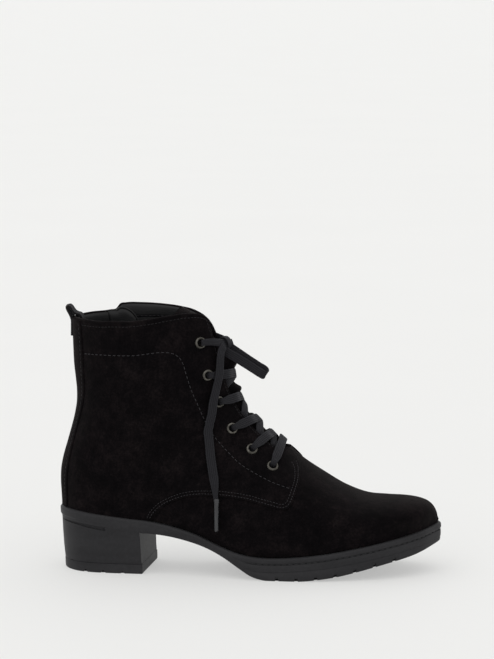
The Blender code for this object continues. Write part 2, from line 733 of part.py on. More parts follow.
def build_upper(finish, collection):
    """Hollow upper: the last's surface with a wall outside it, thicker where the quarters lie."""
    rows = upper_rows()
    heel = int(np.searchsorted(rows, HEEL_SECTION))
    closed = rows <= THROAT_FOOT
    sides = [upper_sheets(side, rows) for side in (OUTER, INNER)]
    for column, shared in ((0, closed & (rows > 0)), (-1, rows > HEEL_SECTION)):
        both = unit(sides[0][3][shared, column] + sides[1][3][shared, column])
        seam = (sides[0][0][shared, column] + sides[1][0][shared, column]) / 2
        for inside, outside, _, _, wall in sides:
            inside[shared, column] = seam
            outside[shared, column] = seam + wall[shared, column][:, None] * both
    points, faces = [], []
    columns = OVER_COLUMNS + UNDER_COLUMNS
    for inside, outside, tuck, _, _ in sides:
        start = len(points)
        points += list(inside.reshape(-1, 3)) + list(outside.reshape(-1, 3)) + list(tuck)
        points += list(tuck - (0, 0, WALL))
        out = start + inside[..., 0].size
        turned_in = out + inside[..., 0].size
        under = turned_in + heel + 1
        faces += grid_faces(len(rows), columns, start) + grid_faces(len(rows), columns, out)
        for i in range(len(rows) - 1):
            a = i * columns
            if not closed[i + 1]:
                faces.append((start + a, start + a + columns, out + a + columns, out + a))
        for j in range(columns - 1):
            a = (len(rows) - 1) * columns + j
            faces.append((start + a, start + a + 1, out + a + 1, out + a))
        for i in range(heel):
            a = i * columns + columns - 1
            t, u = turned_in + i, under + i
            faces.append((start + a, start + a + columns, t + 1, t))
            faces.append((out + a, out + a + columns, u + 1, u))
            faces.append((t, t + 1, u + 1, u))
    mesh = mesh_from("upper", points, faces, weld=0.02)
    soften(mesh, 50)
    return add("upper", mesh, finish, collection)


def punch_holes(upper, collection):
    """Eyelet holes through both facings, clear of the eyelets' barrels."""
    rings, faces = [], []
    for side in (OUTER, INNER):
        for row, arc in zip(EYELETS["row"], EYELETS["arc"]):
            profile = [(HOLE_RADIUS, -3.0), (HOLE_RADIUS, 7.0)]
            points, sides = turned(row, side * arc, profile, HOLE_SIDES, closed=False)
            faces += [tuple(i + len(rings) for i in face) for face in sides]
            rings += list(points)
    cutter = add("eyelet_holes", mesh_from("eyelet_holes", rings, faces), upper.data.materials[0],
                 collection)
    cutter.hide_render = True
    cutter.display_type = "WIRE"
    cut = upper.modifiers.new("eyelet holes", "BOOLEAN")
    cut.operation = "DIFFERENCE"
    cut.solver = "EXACT"
    cut.object = cutter


HOLE_RADIUS = 3.2
HOLE_SIDES = 10
EYELET_SIDES = 10


def turned(row, arc, profile, sides, closed=True):
    """Points and faces of a profile of radius and lift, turned about the last's normal."""
    centre, normal = spots(row, arc)
    along = np.cross(normal, (0.0, 1.0, 0.0))
    along /= np.linalg.norm(along)
    across = np.cross(normal, along)
    angle = 2 * math.pi * np.arange(sides) / sides
    spoke = np.cos(angle)[:, None] * along + np.sin(angle)[:, None] * across
    points = np.vstack([centre + radius * spoke + lift * normal for radius, lift in profile])
    faces = []
    legs = len(profile) if closed else len(profile) - 1
    for k in range(legs):
        for i in range(sides):
            a = k * sides + i
            b = k * sides + (i + 1) % sides
            shift = ((k + 1) % len(profile) - k) * sides
            faces.append((a, b, b + shift, a + shift))
    if not closed:
        faces.append(tuple(range(sides)))
        faces.append(tuple(range(len(points) - sides, len(points))))
    return points, faces


def build_eyelets(finish, collection):
    """Turned eyelets: a rolled flange outside the facing and a barrel through it."""
    face = QUARTER_WALL + GAP
    profile = [(EYELET_HOLE, 0.0), (EYELET_BARREL, 0.0), (EYELET_BARREL, face),
               (EYELET_FLANGE, face), (EYELET_FLANGE - 0.8, face + 0.9), (EYELET_HOLE, face + 0.5)]
    for side, word in ((OUTER, "outer"), (INNER, "inner")):
        for number, (row, arc) in enumerate(zip(EYELETS["row"], EYELETS["arc"]), 1):
            name = f"eyelet_{word}_{number}"
            points, faces = turned(row, side * arc, profile, EYELET_SIDES)
            mesh = mesh_from(name, points, faces)
            soften(mesh, 45)
            add(name, mesh, finish, collection)


def sheet(name, face, back, finish, collection, degrees=45):
    """Closed solid between two grids of points of the same size."""
    rows, columns = face.shape[:2]
    count = rows * columns
    points = np.vstack([face.reshape(-1, 3), back.reshape(-1, 3)])
    faces = grid_faces(rows, columns) + grid_faces(rows, columns, count)
    index = np.arange(count).reshape(rows, columns)
    rim = np.concatenate([index[0, :-1], index[:-1, -1], index[-1, :0:-1], index[:0:-1, 0]])
    for a, b in zip(rim, np.roll(rim, -1)):
        faces.append((int(a), int(b), int(b) + count, int(a) + count))
    mesh = mesh_from(name, points, faces)
    soften(mesh, degrees)
    return add(name, mesh, finish, collection)


def strap(name, centres, across, normals, width, thick, finish, collection):
    """Flat band along centres: its width lies across, its thickness along the normals."""
    half = (np.broadcast_to(width, len(centres)) / 2)[:, None] * across
    deep = (np.broadcast_to(thick, len(centres)) / 2)[:, None] * normals
    face = np.stack([centres - half + deep, centres + half + deep], axis=1)
    back = np.stack([centres - half - deep, centres + half - deep], axis=1)
    return sheet(name, face, back, finish, collection)


def unit(vectors):
    return vectors / np.linalg.norm(vectors, axis=-1, keepdims=True)


def build_tongue(finish, collection):
    """Padded tongue under the facings, leaning back into the boot above the knot."""
    rows = np.array([9.6, 10.4, 11.2, 12.0, 13.0, 14.0, 15.5, 17.0, 19.0, 21.0, 23.0, 25.0, 26.2,
                     27.2, 28.0, 28.7, TONGUE_TOP])
    across = np.linspace(-1.0, 1.0, 9)
    row = rows[:, None] - TONGUE_DROP * across**2 * np.clip((rows[:, None] - 26.2) / 3.2, 0, 1)
    half = smooth(rows, TONGUE["row"], TONGUE["half"])[:, None]
    arc = half * across
    lean = smooth(rows, TONGUE["row"], TONGUE["back"])[:, None, None] * np.array([-1.0, 0, 0])
    face, normal = spots(row, arc, np.full(row.shape, TONGUE_FACE))
    face = face + lean
    fresh = np.cross(np.gradient(face, axis=1), np.gradient(face, axis=0))
    fresh = unit(fresh) * np.sign((fresh * normal).sum(-1, keepdims=True))
    return sheet("tongue", face, face - TONGUE_THICK * fresh, finish, collection)


BACKSTAY_HALF = 12.5
BACKSTAY_FACE = 3.5
BACKSTAY_THICK = 1.2


def build_backstay(finish, collection):
    """Strip that covers the back seam from the sole to the collar."""
    rows = upper_rows()
    rows = rows[rows > 20.2]
    top = collar_row(np.array([1.0]), OUTER)[0]
    rise = np.clip((rows - COLLAR_FROM) / (rows[-1] - COLLAR_FROM), 0, 1)
    rows = np.where(rise > 0, COLLAR_FROM + (top - COLLAR_FROM) * rise, rows)
    arc = BACKSTAY_HALF * np.array([-1.0, -0.68, -0.34, 0.0, 0.34, 0.68, 1.0])
    row, arc = np.meshgrid(rows, arc, indexing="ij")
    back, normal = spots(row, arc, np.full(row.shape, BACKSTAY_FACE), from_back=True)
    return sheet("backstay", back + BACKSTAY_THICK * normal, back, finish, collection)


# Pull loop at the back seam, seen from the side
LOOP = table("x z", [(4.6, 166.0), (4.4, 173.0), (3.6, 181.0), (3.4, 185.2), (5.0, 188.0),
                     (8.2, 188.0), (11.0, 185.0), (13.0, 180.5), (14.2, 174.0)])
LOOP_WIDTH = 12.0
LOOP_THICK = 1.8
LOOP_BEND = 36.0              # the strap bends round the seam with this radius times two


def build_pull_loop(finish, collection):
    path = np.column_stack([LOOP["x"], LOOP["z"]])
    along = unit(np.gradient(path, axis=0))
    side_on = np.column_stack([-along[:, 1], along[:, 0]]) * LOOP_THICK / 2
    y = LOOP_WIDTH / 2 * np.array([-1.0, -0.33, 0.33, 1.0])
    grids = []
    for sign in (1, -1):
        line = path + sign * side_on
        grid = np.zeros((len(path), len(y), 3))
        grid[..., 0] = line[:, :1] + y**2 / LOOP_BEND
        grid[..., 1] = y
        grid[..., 2] = line[:, 1:]
        grids.append(grid)
    return sheet("pull_loop", grids[0], grids[1], finish, collection)


# Laces

def strand(row_from, arc_from, row_to, arc_to, over, edge_along):
    """Centre line, width direction and normal of a lace from above an eyelet across the throat.

    over is its lift above the ridge. The end that dives is cut along the facing it goes under.
    """
    t = np.array([0.0, 0.1, 0.24, 0.36, 0.45, 0.53, 0.6, 0.67, 0.75, 0.87, 1.0])
    face = QUARTER_WALL + GAP
    lift = np.interp(t, [0.0, 0.1, 0.36, 0.53, 0.75, 1.0],
                     [face + 1.2, face + 1.2, face + 0.5, over + 0.4, over, edge_along])
    row = row_from + (row_to - row_from) * t
    arc = arc_from + (arc_to - arc_from) * t
    centres, normals = spots(row, arc, lift + LACE_THICK / 2)
    beside = smooth(np.array([row_to - 0.1, row_to + 0.1]), THROAT["row"], THROAT["arc"])
    swing = np.sign(arc_to) * (beside[1] - beside[0]) / 0.2
    ahead = spots(row + 0.05, arc + 0.05 * swing, lift + LACE_THICK / 2)[0]
    facing_way = unit(ahead - centres)
    across = unit(np.cross(normals, np.gradient(centres, axis=0)))
    facing_way *= np.sign((facing_way * across).sum(-1, keepdims=True))
    blend = np.clip((t - 0.5) / 0.5, 0, 1)[:, None]
    across = unit(across * (1 - blend) + facing_way * blend)
    return centres, across, normals


def build_lace_crossings(finish, collection):
    """Crossing laces between the facings, each pair joined where one lies on the other."""
    end_gap = 2.2
    for number, (eyelet, to_inner, to_outer) in enumerate(zip(*CROSSINGS.values()), 1):
        row, arc = EYELETS["row"][int(eyelet)], EYELETS["arc"][int(eyelet)]
        made = []
        for side, to_row, over in ((OUTER, to_inner, 0.9), (INNER, to_outer, 0.4)):
            edge = smooth(np.array([to_row]), THROAT["row"], THROAT["arc"])[0] - end_gap
            path = strand(row, side * arc, to_row, -side * edge, over, 0.2)
            name = f"lace_cross_{number}" if side == OUTER else f"lace_under_{number}"
            made.append(strap(name, *path, LACE_WIDTH, LACE_THICK, finish, collection))
        upper_strand, lower_strand = made
        lower_strand.hide_render = True
        lower_strand.display_type = "WIRE"
        join = upper_strand.modifiers.new("crossing", "BOOLEAN")
        join.operation = "UNION"
        join.solver = "EXACT"
        join.object = lower_strand


def build_lace_bar(finish, collection):
    """Straight bar of lace over the lowest pair of eyelets."""
    row, arc = EYELETS["row"][-1], EYELETS["arc"][-1]
    t = np.array([-1.0, -0.88, -0.66, -0.45, -0.2, 0.0, 0.2, 0.45, 0.66, 0.88, 1.0])
    face = QUARTER_WALL + GAP
    lift = np.interp(np.abs(t), [0.0, 0.3, 0.6, 0.88, 1.0],
                     [face, face + 0.3, face + 0.8, face + 1.2, face + 1.2]) + LACE_THICK / 2
    centres, normals = spots(row - 0.25 * (1 - t**2), arc * t, lift)
    across = unit(np.cross(normals, np.gradient(centres, axis=0)))
    return strap("lace_bar", centres, across, normals, LACE_WIDTH, LACE_THICK, finish, collection)


# Knot between the top eyelets: under is the lift of the lace's underside
KNOT = table("row arc under width thick", [
    (26.82, -30.6, 4.5, 6.5, 1.2), (26.8, -26.5, 4.5, 6.5, 1.2), (26.65, -20.0, 4.2, 6.5, 1.2),
    (26.5, -15.5, 3.3, 6.5, 1.2), (26.4, -13.0, 1.5, 7.0, 2.6), (26.35, -9.0, 0.9, 8.0, 4.2),
    (26.4, -5.0, 0.8, 7.4, 4.0), (26.45, -2.0, 0.7, 6.5, 1.2), (26.6, 5.0, 0.7, 6.5, 1.2),
    (26.7, 14.0, 2.4, 6.5, 1.2), (26.75, 20.0, 4.2, 6.5, 1.2), (26.8, 26.5, 4.5, 6.5, 1.2),
    (26.82, 30.6, 4.5, 6.5, 1.2),
])

# Free end on the outer side, middle of the lace, then the place its tag points at
END_OUTER = table("row arc lift", [
    (25.9, -18.2, 5.4), (25.3, -21.1, 6.3), (24.22, -23.8, 6.7), (23.1, -26.8, 6.6),
    (22.0, -29.8, 6.5), (20.6, -33.6, 6.1), (19.23, -37.5, 5.5), (17.04, -44.2, 5.0),
    (15.65, -52.6, 5.0), (14.75, -62.0, 5.0), (14.17, -72.8, 5.0), (13.67, -91.5, 5.2),
])
END_INNER = table("row arc lift", [
    (25.2, 12.0, 4.6), (24.8, 16.0, 5.6), (24.2, 20.8, 6.6), (23.3, 25.4, 7.0),
    (22.0, 29.8, 6.7), (20.6, 33.6, 6.3), (19.23, 37.5, 5.5), (17.4, 44.0, 5.0),
    (16.3, 51.0, 5.0), (15.6, 58.0, 5.6), (15.2, 64.0, 6.6), (14.8, 84.0, 9.0),
])
TAG_RADIUS = 1.9
TAG_LENGTH = 21.0

# Bow of the outer side, held out over the vamp, and that of the inner side, lying on the shaft
BOW_OUTER = table("x y z", [
    (121.4, -8.8, 158.7), (126.2, -11.2, 155.4), (132.2, -14.6, 151.4), (138.7, -18.4, 146.9),
    (144.6, -21.9, 142.6), (146.6, -21.9, 141.9), (147.6, -20.4, 142.3), (147.4, -18.9, 143.6),
    (141.4, -15.6, 149.9), (134.8, -11.6, 154.7), (128.8, -8.2, 158.9), (123.6, -6.1, 162.4),
])
BOW_SLANT = (0.57, 0.0, 0.82)
BOW_INNER = table("row arc lift", [
    (26.15, 10.5, 4.2), (25.9, 18.0, 5.8), (25.65, 26.0, 5.8), (25.45, 34.0, 5.8),
    (25.3, 41.0, 5.8), (25.33, 42.6, 6.4), (25.4, 43.0, 7.1), (25.5, 42.4, 7.8),
    (25.66, 34.0, 8.2), (25.85, 26.0, 8.2), (26.1, 18.0, 8.2), (26.35, 11.8, 7.8),
])


def build_knot(finish, collection):
    """Lace from one top eyelet through the knot to the other."""
    lift = KNOT["under"] + KNOT["thick"] / 2
    centres, normals = spots(KNOT["row"], KNOT["arc"], lift)
    across = unit(np.cross(normals, np.gradient(centres, axis=0)))
    return strap("lace_knot", centres, across, normals, KNOT["width"], KNOT["thick"], finish,
                 collection)


def build_lace_end(word, path, finish, tag_finish, collection):
    centres, normals = spots(path["row"], path["arc"], path["lift"])
    across = unit(np.cross(normals, np.gradient(centres, axis=0)))
    strap(f"lace_end_{word}", centres[:-1], across[:-1], normals[:-1], LACE_WIDTH, LACE_THICK,
          finish, collection)
    way = unit(centres[-1] - centres[-2])
    start = centres[-2] + 0.5 * way
    side_on = unit(np.cross(way, normals[-2]))
    rim = 2 * math.pi * np.arange(8) / 8
    ring = TAG_RADIUS * (np.cos(rim)[:, None] * side_on
                         + np.sin(rim)[:, None] * np.cross(way, side_on))
    points = np.vstack([start + ring, start + TAG_LENGTH * way + ring])
    faces = [(i, (i + 1) % 8, (i + 1) % 8 + 8, i + 8) for i in range(8)]
    faces += [tuple(range(8)), tuple(range(8, 16))]
    mesh = mesh_from(f"lace_tag_{word}", points, faces)
    soften(mesh, 50)
    add(f"lace_tag_{word}", mesh, tag_finish, collection)


def build_bow(word, centres, across, finish, collection):
    normals = unit(np.cross(np.gradient(centres, axis=0), across))
    return strap(f"lace_bow_{word}", centres, across, normals, LACE_WIDTH, LACE_THICK, finish,
                 collection)


def build_bows(finish, collection):
    outer = np.column_stack([BOW_OUTER["x"], BOW_OUTER["y"], BOW_OUTER["z"]])
    build_bow("outer", outer, np.tile(unit(np.array(BOW_SLANT)), (len(outer), 1)), finish,
              collection)
    inner, _ = spots(BOW_INNER["row"], BOW_INNER["arc"], BOW_INNER["lift"])
    above, _ = spots(BOW_INNER["row"] + 0.1, BOW_INNER["arc"], BOW_INNER["lift"])
    build_bow("inner", inner, unit(above - inner), finish, collection)


# Zip on the inner side

ZIP_TOP, ZIP_FOOT = (37.0, 184.0), (52.0, 58.0)      # its line seen from the side, x and z
ZIP_LIFT = 3.5
CHAIN_TOP, CHAIN_WIDTH, CHAIN_THICK = 169.6, 8.0, 1.3
SLIDER_MIDDLE = 176.0
SLIDER = table("lift width length", [(3.5, 8.0, 11.0), (5.4, 8.0, 11.0), (5.6, 2.4, 5.0),
                                     (8.2, 2.4, 4.0)])
PULL_AXIS = 7.1               # lift of the pull's hinge line
PULL_THICK = 1.4
PULL = table("side down", [(-2.75, -0.9), (-1.5, -0.9), (-1.5, 4.2), (1.5, 4.2), (1.5, -0.9),
                           (2.75, -0.9), (2.75, 6.0), (2.2, 18.0), (1.2, 20.0), (-1.2, 20.0),
                           (-2.2, 18.0), (-2.75, 6.0)])


def zip_spots(heights, lift):
    """Points and normals of the zip's line at given heights."""
    found = []
    for z in heights:
        part = (ZIP_TOP[1] - z) / (ZIP_TOP[1] - ZIP_FOOT[1])
        row, share = pin(ZIP_TOP[0] + part * (ZIP_FOOT[0] - ZIP_TOP[0]), z, INNER)
        found.append((row, share * half_girth(row, INNER)[0]))
    row, arc = np.array(found).T
    return spots(row, arc, np.full(len(row), lift))


def build_zip(teeth, metal, collection):
    centres, normals = zip_spots(np.linspace(CHAIN_TOP, ZIP_FOOT[1], 9), ZIP_LIFT + CHAIN_THICK / 2)
    across = unit(np.cross(normals, np.gradient(centres, axis=0)))
    strap("zip_chain", centres, across, normals, CHAIN_WIDTH, CHAIN_THICK, teeth, collection)
    ends, around = zip_spots([SLIDER_MIDDLE + 4, SLIDER_MIDDLE, SLIDER_MIDDLE - 4], 0.0)
    middle, normal = ends[1], around[1]
    down = unit(ends[2] - ends[0])
    side_on = unit(np.cross(normal, down))
    down = np.cross(side_on, normal)
    corners = np.array([(-1, -1), (1, -1), (1, 1), (-1, 1)]) / 2
    points = np.vstack([middle + lift * normal + corners[:, :1] * width * side_on
                        + corners[:, 1:] * length * down
                        for lift, width, length in zip(*SLIDER.values())])
    faces = [tuple(range(4)), tuple(range(12, 16))]
    for k in range(3):
        faces += [(4 * k + i, 4 * k + (i + 1) % 4, 4 * k + (i + 1) % 4 + 4, 4 * k + i + 4)
                  for i in range(4)]
    mesh = mesh_from("zip_slider", points, faces)
    soften(mesh, 30)
    add("zip_slider", mesh, metal, collection)
    flat = middle + PULL["side"][:, None] * side_on + PULL["down"][:, None] * down
    half = PULL_THICK / 2
    points = np.vstack([flat + (PULL_AXIS - half) * normal, flat + (PULL_AXIS + half) * normal])
    count = len(flat)
    faces = [tuple(range(count)), tuple(range(count, 2 * count))]
    faces += [(i, (i + 1) % count, (i + 1) % count + count, i + count) for i in range(count)]
    mesh = mesh_from("zip_pull", points, faces)
    soften(mesh, 30)
    hinge = to_part(middle + PULL_AXIS * normal)
    mesh.transform(Matrix.Translation(-Vector(hinge)))
    add("zip_pull", mesh, metal, collection).location = hinge
    print("zip pull turns about", hinge, "along", -side_on)


def main():
    clear_scene()
    parts = new_collection("ankle_boot")
    suede = material("suede", (0.012, 0.011, 0.012), 0.95)
    rubber = material("rubber", (0.035, 0.035, 0.037), 0.55)
    lining = material("lining", (0.05, 0.05, 0.052), 0.45)
    lace = material("lace", (0.03, 0.033, 0.038), 0.85)
    silver = material("antique_silver", (0.45, 0.44, 0.41), 0.35, 1.0)
    tag = material("lace_tag", (0.03, 0.03, 0.033), 0.35)
    teeth = material("zip_teeth", (0.02, 0.02, 0.022), 0.5)
    build_midsole(rubber, parts)
    build_outsole(rubber, parts)
    build_heel(rubber, parts)
    build_heel_lift(rubber, parts)
    build_insole(lining, parts)
    upper = build_upper(suede, parts)
    punch_holes(upper, parts)
    build_tongue(suede, parts)
    build_backstay(suede, parts)
    build_pull_loop(lace, parts)
    build_eyelets(silver, parts)
    build_lace_crossings(lace, parts)
    build_lace_bar(lace, parts)
    build_knot(lace, parts)
    build_lace_end("outer", END_OUTER, lace, tag, parts)
    build_lace_end("inner", END_INNER, lace, tag, parts)
    build_bows(lace, parts)
    build_zip(teeth, silver, parts)


main()
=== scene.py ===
"""Lace-up ankle boot with a block heel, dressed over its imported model.

The upper, its panels, seams, laces and zip lie on one surface, the last. A place on it is a row of
a short table and a share of that section's girth, and a lift moves the place out along the
surface's own normal. The sole is the outline of the tread, moved in and raised level by level.
Tables are in millimetres from the back of the heel seat. The vamp's rows, the collar, the backstay
and the loop follow the photograph a little closer than the part's source does.
"""
import math

import bmesh
import bpy
import numpy as np
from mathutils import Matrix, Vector


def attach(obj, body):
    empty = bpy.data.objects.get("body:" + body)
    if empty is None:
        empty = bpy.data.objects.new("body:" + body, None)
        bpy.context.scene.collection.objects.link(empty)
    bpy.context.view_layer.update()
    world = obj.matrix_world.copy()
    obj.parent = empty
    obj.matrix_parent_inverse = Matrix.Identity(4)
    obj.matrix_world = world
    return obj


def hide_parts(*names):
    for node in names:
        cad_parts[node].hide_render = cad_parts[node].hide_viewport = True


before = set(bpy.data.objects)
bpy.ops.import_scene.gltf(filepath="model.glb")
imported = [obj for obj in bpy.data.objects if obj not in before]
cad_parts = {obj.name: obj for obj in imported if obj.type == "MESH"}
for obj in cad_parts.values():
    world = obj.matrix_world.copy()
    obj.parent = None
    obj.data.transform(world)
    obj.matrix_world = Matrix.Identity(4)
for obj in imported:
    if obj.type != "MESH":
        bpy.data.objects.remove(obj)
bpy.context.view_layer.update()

MM = 0.001
HEEL_CENTRE = 30.0
GAP, WALL, QUARTER_WALL, MARGIN = 0.3, 2.0, 3.0, 9.0
SOLE_LENGTH, HEEL_BACK, BALL_WIDTH, LAST_INSET = 270.0, -1.5, 94.0, 4.3
OUTER, INNER = -1, 1
WORDS = {OUTER: "outer", INNER: "inner"}
SENSOR, FOCAL_PIXELS, PHOTO_PIXELS = 36.0, 2840.0, 494.0
WHITE = (1.0, 1.0, 0.99, 1.0)


# Camera, light and floor

def to_boot(points):
    """Table millimetres to the model's metres, from the middle of the heel's tread."""
    return (np.asarray(points, float) - (HEEL_CENTRE, 0.0, 0.0)) * MM


def linked(name, data):
    thing = bpy.data.objects.new(name, data)
    bpy.context.scene.collection.objects.link(thing)
    return thing


def aimed(name, data, back):
    """A camera or light whose back points in a direction."""
    thing = linked(name, data)
    thing.rotation_mode = "QUATERNION"
    thing.rotation_quaternion = (-Vector(back)).to_track_quat("-Z", "Y")
    return thing


def look_from(azimuth, pitch, target, distance):
    """Camera at the target plus the distance along the direction of azimuth and pitch."""
    a, p = math.radians(azimuth), math.radians(pitch)
    back = Vector((math.sin(a) * math.cos(p), -math.cos(a) * math.cos(p), math.sin(p)))
    camera = aimed("camera", bpy.data.cameras.new("camera"), back)
    camera.location = Vector(to_boot(target)) + distance * MM * back
    camera.data.sensor_fit = "HORIZONTAL"
    camera.data.sensor_width = SENSOR
    camera.data.lens = SENSOR * FOCAL_PIXELS / PHOTO_PIXELS
    bpy.context.scene.camera = camera


def soft_light(name, towards, width, strength):
    """Far light from one direction, as wide as a big softbox, so that the floor is lit evenly."""
    lamp = bpy.data.lights.new(name, "SUN")
    lamp.angle, lamp.energy = math.radians(width), strength
    aimed(name, lamp, towards)


def studio():
    """Pale floor that glows faintly, an even pale surround and two soft lights."""
    mesh = bpy.data.meshes.new("floor")
    far = 600.0
    mesh.from_pydata([(-far, -far, 0), (far, -far, 0), (far, far, 0), (-far, far, 0)], [],
                     [(0, 1, 2, 3)])
    mesh.materials.append(floor_finish())
    linked("floor", mesh)
    world = bpy.data.worlds.new("studio")
    world.use_nodes = True
    sky = world.node_tree.nodes["Background"]
    sky.inputs["Color"].default_value = WHITE
    sky.inputs["Strength"].default_value = 0.965
    bpy.context.scene.world = world
    bpy.context.scene.view_settings.view_transform = "Standard"
    soft_light("key", (-0.35, -1.0, 1.15), 60.0, 0.42)
    soft_light("top", (0.1, 0.15, 1.0), 80.0, 0.22)


# Tables of the last and the sole

def table(names, rows):
    """A short table: one named array for each column."""
    return dict(zip(names.split(), np.array(rows, float).T))


def rows_of(data):
    """A table as an array of its rows."""
    return np.column_stack(list(data.values()))


OUTLINE = table("x outer inner", [
    (-1.5, 0, 0), (5, 0.192, 0.192), (12, 0.262, 0.258), (24, 0.314, 0.304),
    (36, 0.332, 0.316), (50, 0.342, 0.312), (66, 0.35, 0.294), (80, 0.362, 0.276),
    (95, 0.384, 0.27), (110, 0.416, 0.29), (125, 0.452, 0.338), (140, 0.482, 0.402),
    (155, 0.498, 0.462), (170, 0.502, 0.498), (183, 0.494, 0.508), (197, 0.474, 0.5),
    (210, 0.446, 0.482), (224, 0.4, 0.452), (237, 0.34, 0.408), (248, 0.268, 0.356),
    (257, 0.18, 0.292), (264, 0.066, 0.206), (268.5, -0.053, 0.053)])
SOLE = table("x seat under", [
    (-1.5, 44.9, 34.9), (12, 44.1, 34.1), (30, 42.1, 32.1), (50, 39.9, 29.9), (66, 38.2, 29.2),
    (80, 35.3, 27.5), (92, 32, 24.9), (103, 28.1, 21.6), (112, 24, 17.7), (120, 20.9, 13.2),
    (128, 18.4, 8), (137, 16.8, 2.6), (147, 16.2, 0), (172, 17.5, 0), (184, 18.7, 1.1),
    (197, 20.5, 3), (210, 22.8, 5.8), (224, 25.3, 9.2), (237, 27.9, 12.2), (251, 30.8, 15.5),
    (268.5, 34.6, 21.2)])
LAST = table("top_x top_z ridge low swell_outer swell_inner widest crown", [
    (264.2, 36.3, 5, 261.4, 0, 0, 0.5, 2),
    (263.5, 40.2, 5.2, 259.8, 0.4, 0.4, 0.52, 2.1),
    (261.4, 43.9, 5.6, 256, 0.8, 0.8, 0.55, 2.2),
    (257.5, 46.8, 6, 250, 1, 1, 0.58, 2.3),
    (251.3, 48.5, 6.5, 242, 1.2, 1.2, 0.6, 2.4),
    (242.4, 49.5, 7, 232.5, 1.4, 1.2, 0.62, 2.4),
    (230.2, 49.9, 7.5, 222, 1.5, 1.3, 0.63, 2.3),
    (215, 51.3, 8, 209.5, 1.6, 1.4, 0.64, 2.2),
    (199, 57.7, 8, 196, 1.7, 1.5, 0.66, 2),
    (183.8, 67.1, 7.5, 183, 1.8, 1.6, 0.68, 1.9),
    (170.1, 76.4, 7, 170, 2, 1.6, 0.69, 1.8),
    (160, 85.4, 6, 157, 2.1, 1.8, 0.7, 1.7),
    (153, 91.6, 5, 140, 2.2, 2.5, 0.69, 1.62),
    (147.6, 97.2, 4, 121, 2.3, 4, 0.68, 1.6),
    (142.6, 102.2, 3.4, 101, 2.6, 5.5, 0.67, 1.62),
    (138.2, 106.6, 2.8, 79, 3, 5.8, 0.66, 1.7),
    (134.4, 110.6, 2.2, 57, 3.4, 5, 0.64, 1.8),
    (131.2, 114.2, 1.6, 36, 3.8, 4.6, 0.62, 1.88),
    (128.6, 117.8, 1.2, 18, 4.2, 4.8, 0.6, 1.95),
    (127.2, 120.2, 1, 7, 4.6, 5.2, 0.58, 2),
    (126, 122.6, 0.8, 0, 4.9, 5.4, 0.57, 2),
    (124.4, 126.4, 0.6, -10, 5.2, 5.8, 0.56, 2),
    (122.8, 131, 0.4, -24, 5.4, 6.2, 0.55, 2),
    (121.6, 136.6, 0.2, -40, 5.6, 6.6, 0.54, 2),
    (120.6, 143, 0, -57, 5.8, 7, 0.53, 2),
    (119.2, 150.4, 0, -75, 6, 7.2, 0.52, 2),
    (117.2, 158.4, 0, -93, 6.4, 7.6, 0.52, 2),
    (114.6, 166.6, 0, -110, 6.8, 8, 0.52, 2),
    (111.6, 175, 0, -126, 7.2, 8.4, 0.52, 2),
    (108.4, 184, 0, -142, 7.6, 8.8, 0.52, 2),
    (105, 193, 0, -158, 8, 9.2, 0.52, 2)])
LAST_ROWS = np.arange(len(LAST["low"]), dtype=float)
TOP_ROW = LAST_ROWS[-1]
SEAT_WIDEST, HEEL_ROUND, HEEL_BEND = 32.0, 34.0, 6
HEEL_FROM, HEEL_DEEP, HEEL_FLARE = 105.0, 46.0, 18.0
SEAM_BLEND = 3.0
BACK = table("z x", [
    (46, 2.8), (54, 2.4), (64, 2), (71, 2.4), (79, 4), (88, 6.6), (97, 9.2), (109, 12.3),
    (119, 13.9), (127, 14), (136, 13.2), (145, 12.2), (158, 11.6), (170, 11.2), (182, 10.6),
    (206, 9.6)])
COLLAR = table("x outer inner", [
    (0, 178.6, 178.6), (6, 178.6, 178.6), (12, 178.7, 178.7), (18, 178.8, 179.2),
    (31, 178.4, 179.9), (35.4, 178.6, 180.9), (37.6, 178.8, 183.9), (41, 178.9, 184.6),
    (52, 179.1, 184.7), (66, 180.9, 184), (80, 183.1, 182.4), (91, 184, 179.8),
    (97, 183.3, 176.6), (101, 181.6, 172.8), (103.5, 179.2, 168.8), (105.2, 176, 165),
    (106.4, 172.8, 162), (108.4, 166, 158)])
QUARTER_EDGE = table("x z", [
    (62, 31), (65.6, 38), (70, 44.8), (76, 50), (82.6, 53.2), (89.6, 55.6), (97.9, 57),
    (107.9, 57.4), (119.3, 57), (128.9, 55.9), (137, 54.5), (145, 52.4), (151.4, 50.9),
    (160, 49.5), (168, 48.7)])
# Front edge of the quarters on the vamp, its lower corner rounded
QUARTER_FRONT = table("z x", [
    (48.9, 158.4), (49.5, 161.2), (50.4, 163.3), (52.7, 165.3), (56.8, 166.9), (60.7, 168),
    (66.4, 169.2), (71, 168.9), (74.7, 168), (79.6, 164.8), (83.8, 160.7), (88, 156)])
STAY_SEAM = table("x z", [
    (20.6, 155), (30.1, 155.3), (43.5, 155.5), (56.9, 156), (64.7, 157.2), (72.3, 158.2),
    (79.9, 157.8), (84.9, 155.6), (88.1, 150.8), (90, 144.1), (91.9, 137.5), (94.3, 129.9),
    (98, 120.8), (102.7, 109.7), (108.2, 99.4), (113.8, 92.4), (120.7, 85.3), (127.9, 78.9),
    (136, 73.9), (146.2, 68.7), (151.8, 66.1), (158.2, 63.9), (163.6, 62)])
BACKSTAY = table("z half", [
    (45, 14.6), (60, 15.3), (74, 15.7), (88, 14.7), (102, 14.2), (117, 15.2), (132, 17.3),
    (147, 18.6), (161, 18.6), (175, 18), (188, 17.6)])
THROAT_FOOT = 10.95
